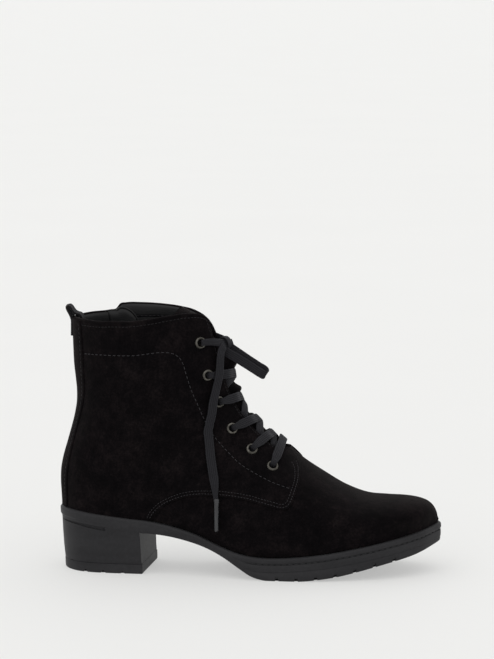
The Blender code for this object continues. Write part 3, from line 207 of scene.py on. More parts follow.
THROAT = table("row arc", [
    (10.95, 0), (11.1, 5.5), (11.4, 10.5), (12, 16.2), (12.6, 17.4), (14, 15.8), (16.7, 13.2),
    (19, 13.7), (21.2, 14.5), (22.7, 15.6), (24, 17.2), (25.7, 18.8), (27.2, 19.2), (30, 19.2)])
EYELETS = table("row arc", [(26.82, 30.6), (24.41, 30.1), (21.29, 25.4), (16.43, 26.5),
                            (13.94, 30.1), (12.08, 35)])
LACE_WIDTH, LACE_THICK = 6.5, 1.2
ROW_STEPS, GIRTH_STEPS = 20, 240
COLLAR_FROM, QUARTER_EDGE_ROWS = 24.0, 16.5
SEARCH_ROW, SEARCH_STEP, BACK_FROM = 8, 6, 132
ROW_NUDGE, SHARE_NUDGE = 0.05, 0.004
FULL_TURN = 2 * math.pi


# Small sums

def smooth(at, knots, values):
    """Cubic through the rows of a table, its slope at each row taken from the rows beside it."""
    slopes = np.gradient(values, knots)
    i = np.clip(np.searchsorted(knots, at, side="right") - 1, 0, len(knots) - 2)
    step = knots[i + 1] - knots[i]
    t = np.clip((at - knots[i]) / step, 0.0, 1.0)
    rise = (2 * t**3 - 3 * t**2 + 1) * values[i] + (3 * t**2 - 2 * t**3) * values[i + 1]
    return rise + step * ((t**3 - 2 * t**2 + t) * slopes[i] + (t**3 - t**2) * slopes[i + 1])


def ease(value, low, high):
    """0 below low and 1 above high, with a soft S between."""
    t = np.clip((value - low) / (high - low), 0.0, 1.0)
    return t * t * (3 - 2 * t)


def unit(vectors):
    return vectors / np.maximum(np.linalg.norm(vectors, axis=-1, keepdims=True), 1e-12)


def heading(path):
    """Direction along a path at each of its places."""
    return unit(np.gradient(path, axis=0))


def left_of(way):
    """Flat directions turned a quarter to the left."""
    return np.column_stack([-way[:, 1], way[:, 0]])


def run_of(path):
    """Length of the way along a path up to each of its places."""
    return np.append(0.0, np.cumsum(np.linalg.norm(np.diff(path, axis=0), axis=1)))


def even_along(values, places, pitch):
    """Rows of a table at an even pitch along its path: cubic through them over the path's length."""
    length = run_of(places)
    at = np.linspace(0.0, length[-1], int(length[-1] / pitch) + 2)
    return np.column_stack([smooth(at, length, column) for column in values.T])


def squared(wave, power):
    """A sine or cosine raised to a power below one, which squares a round section."""
    return np.sign(wave) * np.abs(wave)**power


def first_below(values, knots):
    """Knot at which each column of values first falls below nothing, and whether it does."""
    first = np.maximum(np.argmax(values < 0, axis=0), 1)
    each = np.arange(values.shape[1])
    before, after = values[first - 1, each], values[first, each]
    part = np.clip(before / (before - after), 0, 1)
    return knots[first - 1] + part * (knots[first] - knots[first - 1]), (values < 0).any(axis=0)


# The last

def turn_of(x):
    """Place along the outline from 0 at the heel to 1 at the toe, close set at both round ends."""
    return np.arccos(1 - 2 * np.clip((x - HEEL_BACK) / SOLE_LENGTH, 0.0, 1.0)) / math.pi


def x_at(turn):
    return HEEL_BACK + SOLE_LENGTH * (1 - np.cos(math.pi * turn)) / 2


def there_and_back(there, back):
    """Values of the outer side from heel to toe, then of the inner side back."""
    return np.concatenate([there, back[-2:0:-1]])


def ring_x(turns):
    return there_and_back(x_at(turns), x_at(turns))


def outline(turns, inset):
    """Sole outline moved in by inset: the outer side from heel to toe, then the inner side back."""
    knots = turn_of(OUTLINE["x"])
    outer = -BALL_WIDTH * smooth(turns, knots, OUTLINE["outer"])
    inner = BALL_WIDTH * smooth(turns, knots, OUTLINE["inner"])
    ring = np.column_stack([ring_x(turns), there_and_back(outer, inner)])
    along = unit(np.roll(ring, -1, axis=0) - np.roll(ring, 1, axis=0))
    return ring + np.asarray(inset)[..., None] * left_of(along)


def both_sides(ring):
    """The outer and the inner side of an outline, each from heel to toe."""
    count = len(ring) // 2 + 1
    return ring[:count], np.vstack([ring[:1], ring[:count - 2:-1]])


FEATHER_SIDES = dict(zip(WORDS, both_sides(outline(np.linspace(0.0, 1.0, 241), LAST_INSET))))
HEEL_POINT = FEATHER_SIDES[OUTER][0, 0]


def feather_y(x, side):
    return np.interp(x, *FEATHER_SIDES[side].T)


def seat_z(x):
    return smooth(x, SOLE["x"], SOLE["seat"])


def under_z(x):
    return np.maximum(smooth(x, SOLE["x"], SOLE["under"]), 0.0)


def last_base(x):
    return seat_z(x) + GAP + WALL


def soft_over(value, reach):
    """Zero below nothing and the value above it, rounded over the reach."""
    return (value + np.hypot(value, reach)) / 2


def last_curves(row, side, steps=70):
    """Curves of the last's sections on one side, from the ridge down to the feather edge.

    Above the widest place a curve is a superellipse with the row's crown, below it a quarter of an
    ellipse down to the feather edge, or to the back line behind the heel point. Sections aim at a
    path that rounds the heel's corner. Round the heel the half width comes from the seat's outline
    at the same distance from the back.
    """
    v = {name: smooth(row, LAST_ROWS, LAST[name])[:, None] for name in LAST}
    on_seat = v["low"] > 0
    low_x = HEEL_POINT + np.maximum(v["low"], 0.0)
    back_z = last_base(HEEL_POINT) - v["low"]
    low_z = np.where(on_seat, last_base(low_x), back_z)
    low_y = np.where(on_seat, feather_y(low_x, side), 0.0)
    low_x = np.where(on_seat, low_x, smooth(back_z, BACK["z"], BACK["x"]))
    cut = (np.hypot(v["low"], HEEL_ROUND) - np.abs(v["low"])) / 2
    swell = side * v["swell_" + WORDS[side]]
    wide_x = HEEL_POINT + SEAT_WIDEST + soft_over(v["low"] - SEAT_WIDEST, HEEL_ROUND)
    wide_y = feather_y(wide_x, side) + swell
    angle = np.linspace(0.0, math.pi / 2, steps)[None, :]
    rounding = np.hstack([np.sin(angle) ** (2 / v["crown"]), np.ones((len(row), steps - 1))])
    lower = np.hstack([np.zeros((len(row), steps)),
                       np.repeat(np.sin(angle[:, 1:]), len(row), axis=0)])
    a = np.hstack([v["widest"] * (1 - np.cos(angle).clip(0.0) ** (2 / v["crown"])),
                   v["widest"] + (1 - v["widest"]) * np.sin(angle[:, 1:])])
    bend = cut * (1 - a**HEEL_BEND)
    x = v["top_x"] + a * (low_x + bend - v["top_x"])
    z = v["top_z"] + a * (low_z + bend - v["top_z"])
    section_y = low_y + (wide_y - low_y) * np.sqrt(1 - lower**2)
    behind = np.maximum(x - smooth(z, BACK["z"], BACK["x"]), 0.0)
    round_x = (HEEL_POINT + behind + soft_over(-HEEL_DEEP, HEEL_DEEP / 4)
               - soft_over(behind - HEEL_DEEP, HEEL_DEEP / 4))
    heel_y = feather_y(round_x, side) + swell * (1 - np.exp(-behind / HEEL_FLARE)) * (1 - lower**2)
    full_y = section_y + ease(v["low"], HEEL_FROM, SEAT_WIDEST) * (heel_y - section_y)
    full_y += (low_y - full_y[:, -1:]) * a**(HEEL_BEND + 2)
    y = v["ridge"] + (full_y - v["ridge"]) * rounding
    tip = row[:, None] <= 0.0
    return np.stack([np.where(tip, low_x, x), y, np.where(tip, low_z, z)], axis=2)


def last_table(side):
    """Places, normals and girths of one side, evenly by row and by share of girth."""
    curves = last_curves(np.arange(0.0, TOP_ROW + 0.01, 1 / ROW_STEPS), side)
    share = np.linspace(0.0, 1.0, GIRTH_STEPS + 1)
    runs = [run_of(curve) for curve in curves]
    places = np.array([np.column_stack([np.interp(share * run[-1], run, line) for line in curve.T])
                       for curve, run in zip(curves, runs)])
    normals = side * np.cross(np.gradient(places, axis=1), np.gradient(places, axis=0))
    return places, unit(normals), np.array(runs)[:, -1]


LAST_SIDES = {side: last_table(side) for side in WORDS}


def sampled(grid, row, share):
    """Value of a table over the last between its rows and shares, bilinear."""
    row, share = np.broadcast_arrays(np.asarray(row, float), np.asarray(share, float))
    i = np.clip(row * ROW_STEPS, 0, grid.shape[0] - 1.001)
    j = np.clip(share * GIRTH_STEPS, 0, grid.shape[1] - 1.001)
    a, b = i.astype(int), j.astype(int)
    s, t = (i - a)[..., None], (j - b)[..., None]
    return ((1 - s) * (1 - t) * grid[a, b] + s * (1 - t) * grid[a + 1, b]
            + (1 - s) * t * grid[a, b + 1] + s * t * grid[a + 1, b + 1])


def on_last(row, share, side):
    return sampled(LAST_SIDES[side][0], row, share)


def normal_at(row, share, side):
    return unit(sampled(LAST_SIDES[side][1], row, share))


def off_last(row, share, side, lift):
    """Places off the last by a lift, below nothing inside it, and the normals there."""
    normals = normal_at(row, share, side)
    return on_last(row, share, side) + np.asarray(lift)[..., None] * normals, normals


def half_girth(row, side):
    girths = LAST_SIDES[side][2]
    return np.interp(row, np.arange(len(girths)) / ROW_STEPS, girths)


def spots(row, arc, lift=0.0, from_back=False):
    """Places and normals at a signed arc from the ridge, or from the back seam: outer negative.

    The two sides' normals are blended close to the line that they share.
    """
    row, arc, lift = np.broadcast_arrays(*[np.asarray(v, float) for v in (row, arc, lift)])
    places, normals = np.zeros((2,) + row.shape + (3,))
    for side in WORDS:
        share = np.clip(np.maximum(arc * side, 0.0) / half_girth(row, side), 0, 1)
        share = 1 - share if from_back else share
        weight = np.clip(0.5 + arc * side / (2 * SEAM_BLEND), 0, 1)
        own = arc * side >= 0
        places[own] = on_last(row, share, side)[own]
        normals += weight[..., None] * normal_at(row, share, side)
    normals = unit(normals)
    return places + lift[..., None] * normals, normals


def throat_arc(row):
    """Arc from the ridge to the facing's edge."""
    return smooth(row, THROAT["row"], THROAT["arc"])


def throat_share(row, side):
    return np.where(row > THROAT_FOOT, throat_arc(row), 0.0) / half_girth(row, side)


def from_throat(row, column, side, limit=1.0):
    """Share of the girth at a column that runs from the facing's edge to a limit."""
    start = throat_share(row, side)
    return start + (limit - start) * column


def quarter_share(row, side):
    """Share of the girth at which each section crosses the quarters' lower edge, 1 where none does."""
    share = np.linspace(0.0, 1.0, 161)
    curves = on_last(row[:, None], share[None, :], side)
    over = curves[:, :, 2] - smooth(curves[:, :, 0], QUARTER_EDGE["x"], QUARTER_EDGE["z"])
    met, crosses = first_below(over.T, share)
    return np.where(crosses & (row < QUARTER_EDGE_ROWS), met, 1.0)


def collar_row(share, side):
    """Row at which a line up the shaft reaches the collar line, found by halving."""
    low = np.full(share.shape, COLLAR_FROM)
    high = np.full(share.shape, TOP_ROW)
    for _ in range(18):
        middle = (low + high) / 2
        spot = on_last(middle, from_throat(middle, share, side), side)
        over = spot[..., 2] > smooth(spot[..., 0], COLLAR["x"], COLLAR[WORDS[side]])
        high = np.where(over, middle, high)
        low = np.where(over, low, middle)
    return low


def seen_at(across, z, side, axis=0):
    """Row and share of the places with a given z and x, or y where the axis is 1.

    Newton's steps from the nearest place of a coarse search; for y only the back is searched.
    """
    def seen(row, share):
        return on_last(row, share, side)[:, [axis, 2]]

    first = BACK_FROM if axis else 0
    coarse = LAST_SIDES[side][0][SEARCH_ROW * ROW_STEPS::SEARCH_STEP, first::SEARCH_STEP]
    wanted = np.column_stack([across, z])
    miss = ((coarse[None, ..., [axis, 2]] - wanted[:, None, None])**2).sum(axis=-1)
    i, j = np.unravel_index(miss.reshape(len(wanted), -1).argmin(axis=1), coarse.shape[:2])
    row, share = SEARCH_ROW + i * SEARCH_STEP / ROW_STEPS, (first + j * SEARCH_STEP) / GIRTH_STEPS
    for _ in range(12):
        here = seen(row, share)
        up = (seen(row + ROW_NUDGE, share) - here) / ROW_NUDGE
        beside = (here - seen(row, share - SHARE_NUDGE)) / SHARE_NUDGE
        miss = wanted - here
        area = up[:, 0] * beside[:, 1] - up[:, 1] * beside[:, 0]
        pace = 0.7 / np.where(np.abs(area) < 1.0, 1.0, area)
        row = row + pace * (miss[:, 0] * beside[:, 1] - miss[:, 1] * beside[:, 0])
        share = share + pace * (up[:, 0] * miss[:, 1] - up[:, 1] * miss[:, 0])
        row = np.clip(row, SEARCH_ROW, TOP_ROW - 0.1)
        share = np.clip(share, 0.005, 1.0 if axis else 0.995)
    return row, share


# Mesh tools

def cells(rows, columns, start=0):
    """Corners of the cells of a grid of places, row after row, as an array."""
    at = start + np.arange(rows * columns).reshape(rows, columns)
    return np.stack([at[:-1, :-1], at[:-1, 1:], at[1:, 1:], at[1:, :-1]], axis=-1).reshape(-1, 4)


def strip(first, second):
    """Corners of the faces between two lines of point numbers of the same length."""
    return np.stack([first[:-1], first[1:], second[1:], second[:-1]], axis=-1)


def piece(name, places, finishes, slot, faces=None, uv=None, body="boot", replaces="", weld=0.004,
          sharp=None):
    """A mesh from places in table millimetres; corners that meet are welded, faces look outwards.

    Faces are those of the grid of places, or pairs of faces and the number of their finish.
    """
    faces = faces or [(cells(*places.shape[:2]), 0)]
    mesh = bpy.data.meshes.new(name)
    mesh.from_pydata(to_boot(places.reshape(-1, 3)).tolist(), [],
                     np.vstack([part for part, _ in faces]).tolist())
    for finish in finishes:
        mesh.materials.append(finish)
    which = np.concatenate([np.full(len(part), number, np.int32) for part, number in faces])
    mesh.polygons.foreach_set("material_index", which)
    if uv is not None:
        corners = np.empty(len(mesh.loops), np.int32)
        mesh.loops.foreach_get("vertex_index", corners)
        layer = mesh.uv_layers.new(name="weave")
        layer.uv.foreach_set("vector", uv.reshape(-1, 2)[corners].astype(np.float32).ravel())
    work = bmesh.new()
    work.from_mesh(mesh)
    bmesh.ops.remove_doubles(work, verts=work.verts, dist=weld * MM)
    bmesh.ops.dissolve_degenerate(work, edges=work.edges, dist=weld * MM / 2)
    bmesh.ops.recalc_face_normals(work, faces=work.faces)
    work.to_mesh(mesh)
    work.free()
    mesh.shade_smooth()
    if sharp:
        mesh.set_sharp_from_angle(angle=math.radians(sharp))
    thing = linked(name, mesh)
    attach(thing, body)
    if replaces:
        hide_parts(*replaces.split())
    return thing


def sheet(name, face, back, finishes, slot, kept=slice(None), inside=0, **how):
    """Closed body between two grids of one size, of the kept cells, joined round their rim."""
    rows, columns = face.shape[:2]
    count = rows * columns
    at = np.arange(count).reshape(rows, columns)
    rim = np.concatenate([at[0, :-1], at[:-1, -1], at[-1, :0:-1], at[:0:-1, 0], at[0, :1]])
    faces = [(cells(rows, columns)[kept], 0), (cells(rows, columns, count)[kept], inside),
             (strip(rim, rim + count), 0)]
    return piece(name, np.concatenate([face, back]), finishes, slot, faces, **how)


def stack(name, rings, half, finish, slot, replaces, sharp, painted_shade_ring=None):
    """Closed block of level rings, top first, each starting at the heel's back.

    Its flats go from side to side. The wall faces from the ring that the last argument gives to the
    next one take the second finish, black: painted shade on the blind walls that close grooves and
    notches.
    """
    grid = np.stack(rings)
    around = grid.shape[1]
    grid = np.concatenate([grid, grid[:, :1]], axis=1)
    # Walls split so that one row of them takes the black finish as painted shade.
    walls = np.split(cells(*grid.shape[:2]), [painted_shade_ring * around, (painted_shade_ring + 1) * around] if painted_shade_ring
                     else [])
    faces = list(zip(walls, (0, 1, 0)))
    for level in (0, len(grid) - 1):
        left = level * (around + 1) + np.arange(half)
        faces.append((strip(left, level * (around + 1) + around - np.arange(half)), 0))
    piece(name, grid, [finish, BLACK_TAPE_AND_PAINTED_SHADE], slot, faces, replaces=replaces, sharp=sharp)


def swept(path, first, a, second, b):
    """Grid of places P(s, k) = path(s) + a(s, k) first(s) + b(s, k) second(s)."""
    return (path[..., None, :] + np.asarray(a)[..., None] * first[..., None, :]
            + np.asarray(b)[..., None] * second[..., None, :])


def capped(grid, ends=None):
    """A tube's grid, closed by a row at either end in which all places are one."""
    ends = ends or (grid[:1].mean(axis=1), grid[-1:].mean(axis=1))
    first, last = [np.repeat(end[:, None], grid.shape[1], axis=1) for end in ends]
    return np.concatenate([first, grid, last])


def turned(middle, up, first, second, rings, count, power=1.0):
    """Rings up an axis: P(k, a) = middle + lift(k) up + wide(k) C(a) first + long(k) S(a) second.

    C and S are the cosine and the sine of a, raised to a power that squares the rings.
    """
    lift, wide, long = np.array(rings, float).T[..., None]
    angle = np.linspace(0.0, FULL_TURN, count)
    return swept(middle + lift * up, first, wide * squared(np.cos(angle), power),
                 second, long * squared(np.sin(angle), power))


def copies(name, middles, axes, lengths, radii, finish, slot):
    """One piece of many small capsules: rings of six on three axes, set up at every middle."""
    angle = np.linspace(0.0, FULL_TURN, 7)
    parts = np.broadcast_arrays(lengths, radii[0] * np.cos(angle), radii[1] * np.sin(angle))
    places = middles[:, None, None]
    for part, axis in zip(parts, axes):
        places = places + part[..., None] * axis[:, None, None]
    starts = parts[0].size * np.arange(len(middles))[:, None, None]
    faces = (cells(*parts[0].shape) + starts).reshape(-1, 4)
    return piece(name, places, [finish], slot, [(faces, 0)], weld=0.002)


def stitches(name, rows, finish, slot="suede", pitch=2.7, stitch=1.9, radius=0.26, up=0.1):
    """One piece of all the stitch rows of a seam, from pairs of path and normals.

    Each stitch is a small capsule whose radius is the root of one less the sixth power of the
    place along it; the middles follow the path at an even pitch.
    """
    made = []
    for path, normals in rows:
        both = even_along(np.hstack([path, normals]), path, pitch)
        way = unit(both[1:, :3] - both[:-1, :3])
        normal = unit(both[:-1, 3:])
        middle = (both[:-1, :3] + both[1:, :3]) / 2 + up * normal
        made.append((middle, way, np.cross(normal, way), normal))
    middles, *axes = [np.vstack(parts) for parts in zip(*made)]
    t = np.array([-1.0, -0.86, -0.45, 0.45, 0.86, 1.0])[:, None]
    ring = np.sqrt(1 - t**6) * radius
    return copies(name, middles, axes, t * stitch / 2, (ring, ring), finish, slot)


def woven_map(across, path, width):
    """A capped tape's own map: u across it, v along it in widths."""
    run = run_of(path)
    run = np.concatenate([run[:1], run, run[-1:]])[:, None]
    return np.stack(np.broadcast_arrays((across + 1) / 2, run / width), axis=-1)


def lace_tube(path, across, width, thick):
    """Flat woven lace along a path, its ends closed.

    P(s, a) = path(s) + width/2 C across(s) + thick/2 N up(s), where C and N are the cosine and the
    sine of a, each raised to a power below one that squares the section, and up is square to both
    the path and the width.
    """
    way = heading(path)
    across = unit(across - (across * way).sum(-1, keepdims=True) * way)
    angle = np.linspace(0.0, FULL_TURN, 25)
    c, n = squared(np.cos(angle), 0.55), squared(np.sin(angle), 0.8)
    half, deep = [np.broadcast_to(size, len(path))[:, None] / 2 for size in (width, thick)]
    grid = swept(path, across, half * c, np.cross(way, across), deep * n)
    return capped(grid, (path[:1], path[-1:])), woven_map(c, path, LACE_WIDTH)


def lace(name, path, across, width=LACE_WIDTH, thick=LACE_THICK, **how):
    grid, uv = lace_tube(path, across, width, thick)
    return piece(name, grid, [WOVEN_LACE], "lace", uv=uv, sharp=70, **how)


# Materials

class Wire:
    """A socket to write sums with; numbers and other wires join in."""

    def __init__(self, look, socket):
        self.look, self.socket = look, socket

    def __add__(self, other):
        return self.look.sum("ADD", self, other)

    def __sub__(self, other):
        return self.look.sum("SUBTRACT", self, other)

    def __rsub__(self, other):
        return self.look.sum("SUBTRACT", other, self)

    def __mul__(self, other):
        return self.look.sum("MULTIPLY", self, other)

    __radd__, __rmul__ = __add__, __mul__


class Look:
    """One material. Constants go straight on the shader's sockets."""

    def __init__(self, name, constants):
        self.material = bpy.data.materials.new(name)
        self.material.use_nodes = True
        self.tree = self.material.node_tree
        self.shader = self.tree.nodes["Principled BSDF"]
        for socket, value in constants.items():
            self.put(self.shader.inputs[socket], value)
        self.place = self.node("TexCoord", "Object")

    def put(self, socket, value):
        """A wire's link or a constant on a socket."""
        if isinstance(value, Wire):
            self.tree.links.new(value.socket, socket)
        else:
            socket.default_value = value

    def node(self, kind, output, sockets=None, **settings):
        """An output of a new node, with its settings and what is put on its sockets."""
        node = self.tree.nodes.new("ShaderNode" + kind)
        for setting, value in settings.items():
            setattr(node, setting, value)
        for socket, value in (sockets or {}).items():
            self.put(node.inputs[socket], value)
        return Wire(self, node.outputs[output])

    def sum(self, operation, first, second=0.0):
        return self.node("Math", 0, {0: first, 1: second}, operation=operation)

    def noise(self, scale, detail, rough, stretch=None):
        """Soft noise with features of one over scale, in metres, from 0 to 1."""
        place = self.node("Mapping", 0, {0: self.place, 3: stretch}) if stretch else self.place
        return self.node("TexNoise", "Fac", {"Vector": place, "Scale": scale, "Detail": detail,
                                             "Roughness": rough})

    def grain(self, scale):
        return self.node("TexVoronoi", "Distance", {"Vector": self.place, "Scale": scale})

    def ramp(self, factor, stops):
        made = self.node("ValToRGB", "Color", {0: factor})
        ramp = made.socket.node.color_ramp.elements
        while len(ramp) < len(stops):
            ramp.new(0.5)
        for stop, (at, shade) in zip(ramp, stops):
            stop.position, stop.color = at, (*shade, 1.0)
        return made

    def mixed(self, factor, first, second):
        """Colour between two others."""
        return self.node("Mix", 2, {0: factor, 6: (*first, 1.0), 7: (*second, 1.0)},
                         data_type="RGBA")

    def finish(self, colour, roughness, height=None, depth=0.0001, strength=1.0):
        self.put(self.shader.inputs["Base Color"], colour)
        self.put(self.shader.inputs["Roughness"], roughness)
        if height:
            self.put(self.shader.inputs["Normal"], self.node(
                "Bump", 0, {"Height": height, "Distance": depth, "Strength": strength}))
        return self.material


SHINE = "Specular IOR Level"


def suede_finish():
    """Black suede: brushed nap in broad clouds, warm where it is rubbed, over a fine fibre."""
    look = Look("black_suede", {SHINE: 0.05, "Sheen Weight": 0.02, "Sheen Roughness": 0.42,
                                "Sheen Tint": (0.95, 0.80, 0.76, 1.0)})
    clouds = look.noise(38, 4, 0.6)
    patches = look.noise(150, 3, 0.6)
    fibre = look.noise(2600, 2, 0.6, (1.0, 1.0, 0.45))
    flecks = look.noise(620, 2, 0.65)
    rubbed = (clouds * 0.34 + patches * 0.24 + flecks * 0.34 + fibre * 0.08 - 0.5) * 1.5 + 0.5
    colour = look.ramp(rubbed, [(0.34, (0.0013, 0.0010, 0.0013)), (0.50, (0.0026, 0.0019, 0.0023)),
                                (0.62, (0.0052, 0.0037, 0.0041)), (0.78, (0.0100, 0.0074, 0.0078))])
    return look.finish(colour, 0.98 - 0.12 * patches, fibre * 0.7 + patches * 0.6, 0.00022, 0.7)


def rubber_finish():
    """Moulded rubber: satin, with a fine mould grain, faint flow marks and dust."""
    look = Look("moulded_rubber", {SHINE: 0.14})
    flow = look.noise(60, 3, 0.5, (0.35, 0.35, 1.6))
    dust = look.noise(420, 4, 0.65)
    colour = look.ramp(flow * 0.55 + dust * 0.45,
                       [(0.32, (0.0150, 0.0147, 0.0160)), (0.55, (0.0215, 0.0211, 0.0230)),
                        (0.75, (0.0310, 0.0304, 0.0320))])
    return look.finish(colour, 0.42 + 0.2 * dust, look.grain(1500) * 0.5 + dust * 0.5, 0.00005, 0.6)


def lining_finish():
    """Smooth dark lining leather, softly glossy, with a pored grain."""
    look = Look("lining_leather", {SHINE: 0.3, "Coat Roughness": 0.25, "Coat Weight": 0.05})
    cloud = look.noise(70, 4, 0.6)
    colour = look.ramp(cloud, [(0.3, (0.0020, 0.0020, 0.0024)), (0.7, (0.0070, 0.0068, 0.0076))])
    return look.finish(colour, 0.26 + 0.26 * cloud, look.grain(1300) * 0.4 + cloud * 0.9,
                       0.00016, 0.8)


def silver_finish():
    """Antique silver plating: darker where it dulled, fine scratches in the bright places."""
    look = Look("antique_silver", {"Metallic": 1.0})
    dull = look.noise(420, 4, 0.6)
    fine = look.noise(2400, 2, 0.5, (1.0, 0.3, 1.0))
    colour = look.ramp(dull * 0.75 + fine * 0.25,
                       [(0.3, (0.035, 0.033, 0.029)), (0.55, (0.095, 0.090, 0.080)),
                        (0.75, (0.200, 0.190, 0.170))])
    return look.finish(colour, 0.5 - 0.18 * dull, dull * 0.5 + fine * 0.5, 0.00004, 0.6)


def woven_finish(name, ribs, picks, dark, light):
    """Woven tape: ribs along it and picks across them, offset rib by rib, with a fuzzy fibre."""
    look = Look(name, {SHINE: 0.22, "Sheen Weight": 0.03, "Sheen Roughness": 0.5,
                       "Sheen Tint": (0.85, 0.85, 1.0, 1.0)})
    across, along = [look.node("SeparateXYZ", k, {0: look.node("UVMap", 0)}) for k in (0, 1)]
    rib = look.sum("ABSOLUTE", look.sum("SINE", across * (ribs * math.pi)))
    lean = look.sum("FRACT", across * ribs) * 0.5
    pick = look.sum("SINE", (along * picks + lean) * FULL_TURN) * 0.5 + 0.5
    weave = rib * (0.45 + 0.55 * pick)
    wear = look.noise(190, 3, 0.6)
    colour = look.mixed(look.sum("MINIMUM", weave * 0.7 + wear * 0.3, 1.0), dark, light)
    return look.finish(colour, 0.9 - 0.15 * weave, weave * 0.8 + look.noise(2500, 2, 0.6) * 0.2,
                       0.0003, 0.8)


def fine_finish(name, constants, noise, dark, light, rough, strength):
    """One fine noise for all: from dark to light, a little rougher where light, pressed in."""
    look = Look(name, constants)
    grain = look.noise(*noise)
    return look.finish(look.ramp(grain, [(0.3, dark), (0.7, light)]), rough[0] + rough[1] * grain,
                       grain, 0.0001, strength)


def floor_finish():
    """Plain pale floor with the faintest cloud."""
    look = Look("pale_floor", {SHINE: 0.1, "Emission Strength": 0.435, "Emission Color": WHITE})
    cloud = look.noise(3, 2, 0.5)
    colour = look.mixed(cloud, (0.36, 0.36, 0.355), (0.38, 0.38, 0.375))
    return look.finish(colour, 0.7 + 0.05 * cloud)


SUEDE, RUBBER, LINING, SILVER = suede_finish(), rubber_finish(), lining_finish(), silver_finish()
YARN, TWIST = {SHINE: 0.25, "Sheen Weight": 0.06}, (2200, 2, 0.5)
ZIP_RIB, FILM_STREAK = (2200, 2, 0.5, (1.0, 1.0, 3.0)), (700, 3, 0.6, (1.0, 1.0, 0.25))
THREAD = fine_finish("sewing_thread", YARN, TWIST, (0.010, 0.009, 0.011), (0.026, 0.023, 0.027),
                     (0.62, 0.2), 0.6)
DARK_THREAD = fine_finish("dark_thread", YARN, TWIST, (0.004, 0.0038, 0.0045),
                          (0.010, 0.0092, 0.0105), (0.62, 0.2), 0.6)
WAXED = fine_finish("waxed_thread", {SHINE: 0.4}, (1800, 2, 0.5), (0.010, 0.010, 0.011),
                    (0.022, 0.022, 0.024), (0.45, 0.25), 0.6)
TAG_FILM = fine_finish("tag_film", {SHINE: 0.4, "Coat Weight": 0.12}, FILM_STREAK,
                       (0.014, 0.014, 0.016), (0.034, 0.035, 0.038), (0.25, 0.2), 0.5)
# Black of the zip's tape; the sole's and heel's blocks also use it as painted shade on the blind walls
# that close the sole's grooves and the heel's notches.
BLACK_TAPE_AND_PAINTED_SHADE = fine_finish("black_tape_and_painted_shade", {SHINE: 0.06}, ZIP_RIB, (0.0015, 0.0015, 0.001725),
                        (0.004, 0.004, 0.0044), (0.55, 0.2), 0.7)
ZIP_TEETH = fine_finish("zip_teeth", {SHINE: 0.5}, ZIP_RIB, (0.010, 0.010, 0.0115),
                        (0.022, 0.022, 0.0242), (0.55, 0.2), 0.7)
WOVEN_LACE = woven_finish("woven_lace", 5, 7, (0.0014, 0.0013, 0.0018), (0.0165, 0.0160, 0.0200))
WOVEN_LOOP = woven_finish("woven_loop", 11, 9, (0.0022, 0.0020, 0.0022), (0.0085, 0.0078, 0.0082))


# Laces

KNOT = table("row arc under width thick", [
    (26.82, -30.6, 4.5, 4.4, 1.4), (26.8, -26.5, 4.5, 4.7, 1.4), (26.65, -20, 4.2, 5.2, 1.3),
    (26.5, -15.5, 3.3, 6, 1.2), (26.4, -13, 1.5, 7, 2.6), (26.35, -9, 0.9, 8, 4.2),
    (26.4, -5, 0.8, 7.4, 4), (26.4, -2, 0.7, 6.5, 1.2), (26.38, 5, 0.7, 6.5, 1.2),
    (26.32, 14, 2.2, 6, 1.2), (26.4, 20, 3.9, 5.4, 1.3), (26.65, 26.5, 4.5, 4.7, 1.4),
    (26.82, 30.6, 4.5, 4.4, 1.4)])
END_OUTER = table("row arc lift", [
    (25.9, -18.2, 5.4), (25.3, -21.1, 6.3), (24.22, -23.8, 6.7), (23.1, -26.8, 6.6),
    (22, -29.8, 6.5), (20.6, -33.6, 6.1), (19.23, -37.5, 5.5), (17.04, -44.2, 5),
    (15.65, -52.6, 5), (14.75, -62, 5), (14.17, -72.8, 5), (13.67, -91.5, 5.2)])
END_INNER = table("row arc lift", [
    (25.2, 12, 4.6), (24.8, 16, 5.6), (24.2, 20.8, 6.6), (23.3, 25.4, 7), (22, 29.8, 6.7),
    (20.6, 33.6, 6.3), (19.23, 37.5, 5.5), (17.4, 44, 5), (16.3, 51, 5), (15.6, 58, 5.6),
    (15.2, 64, 6.6), (14.8, 84, 9)])
BOW_OUTER = table("x y z", [
    (116.2, -13.2, 157), (119.8, -13.8, 155), (125.2, -15, 152.1), (131.3, -17.2, 148.8),
    (137.5, -19.6, 145.4), (142.8, -21.7, 142.5), (144.9, -21.9, 141.5), (146.1, -20.6, 141.8),
    (145.8, -18.8, 143.1), (139.6, -16.2, 147.1), (133, -13.6, 150.9), (127, -11.2, 154.5),
    (121.8, -9.2, 157.6), (118.4, -8.4, 159.8)])
BOW_SLANT = (0.54, 0.0, 0.84)
BOW_INNER = table("row arc lift", [
    (25.75, 10.5, 3.4), (25.6, 18, 5.4), (25.5, 26, 5.8), (25.4, 34, 5.8), (25.3, 41, 5.8),
    (25.33, 42.6, 6.4), (25.4, 43, 7.1), (25.5, 42.4, 7.8), (25.56, 34, 8.2), (25.66, 26, 8.2),
    (25.8, 18, 7.8), (25.95, 11.8, 6.4)])
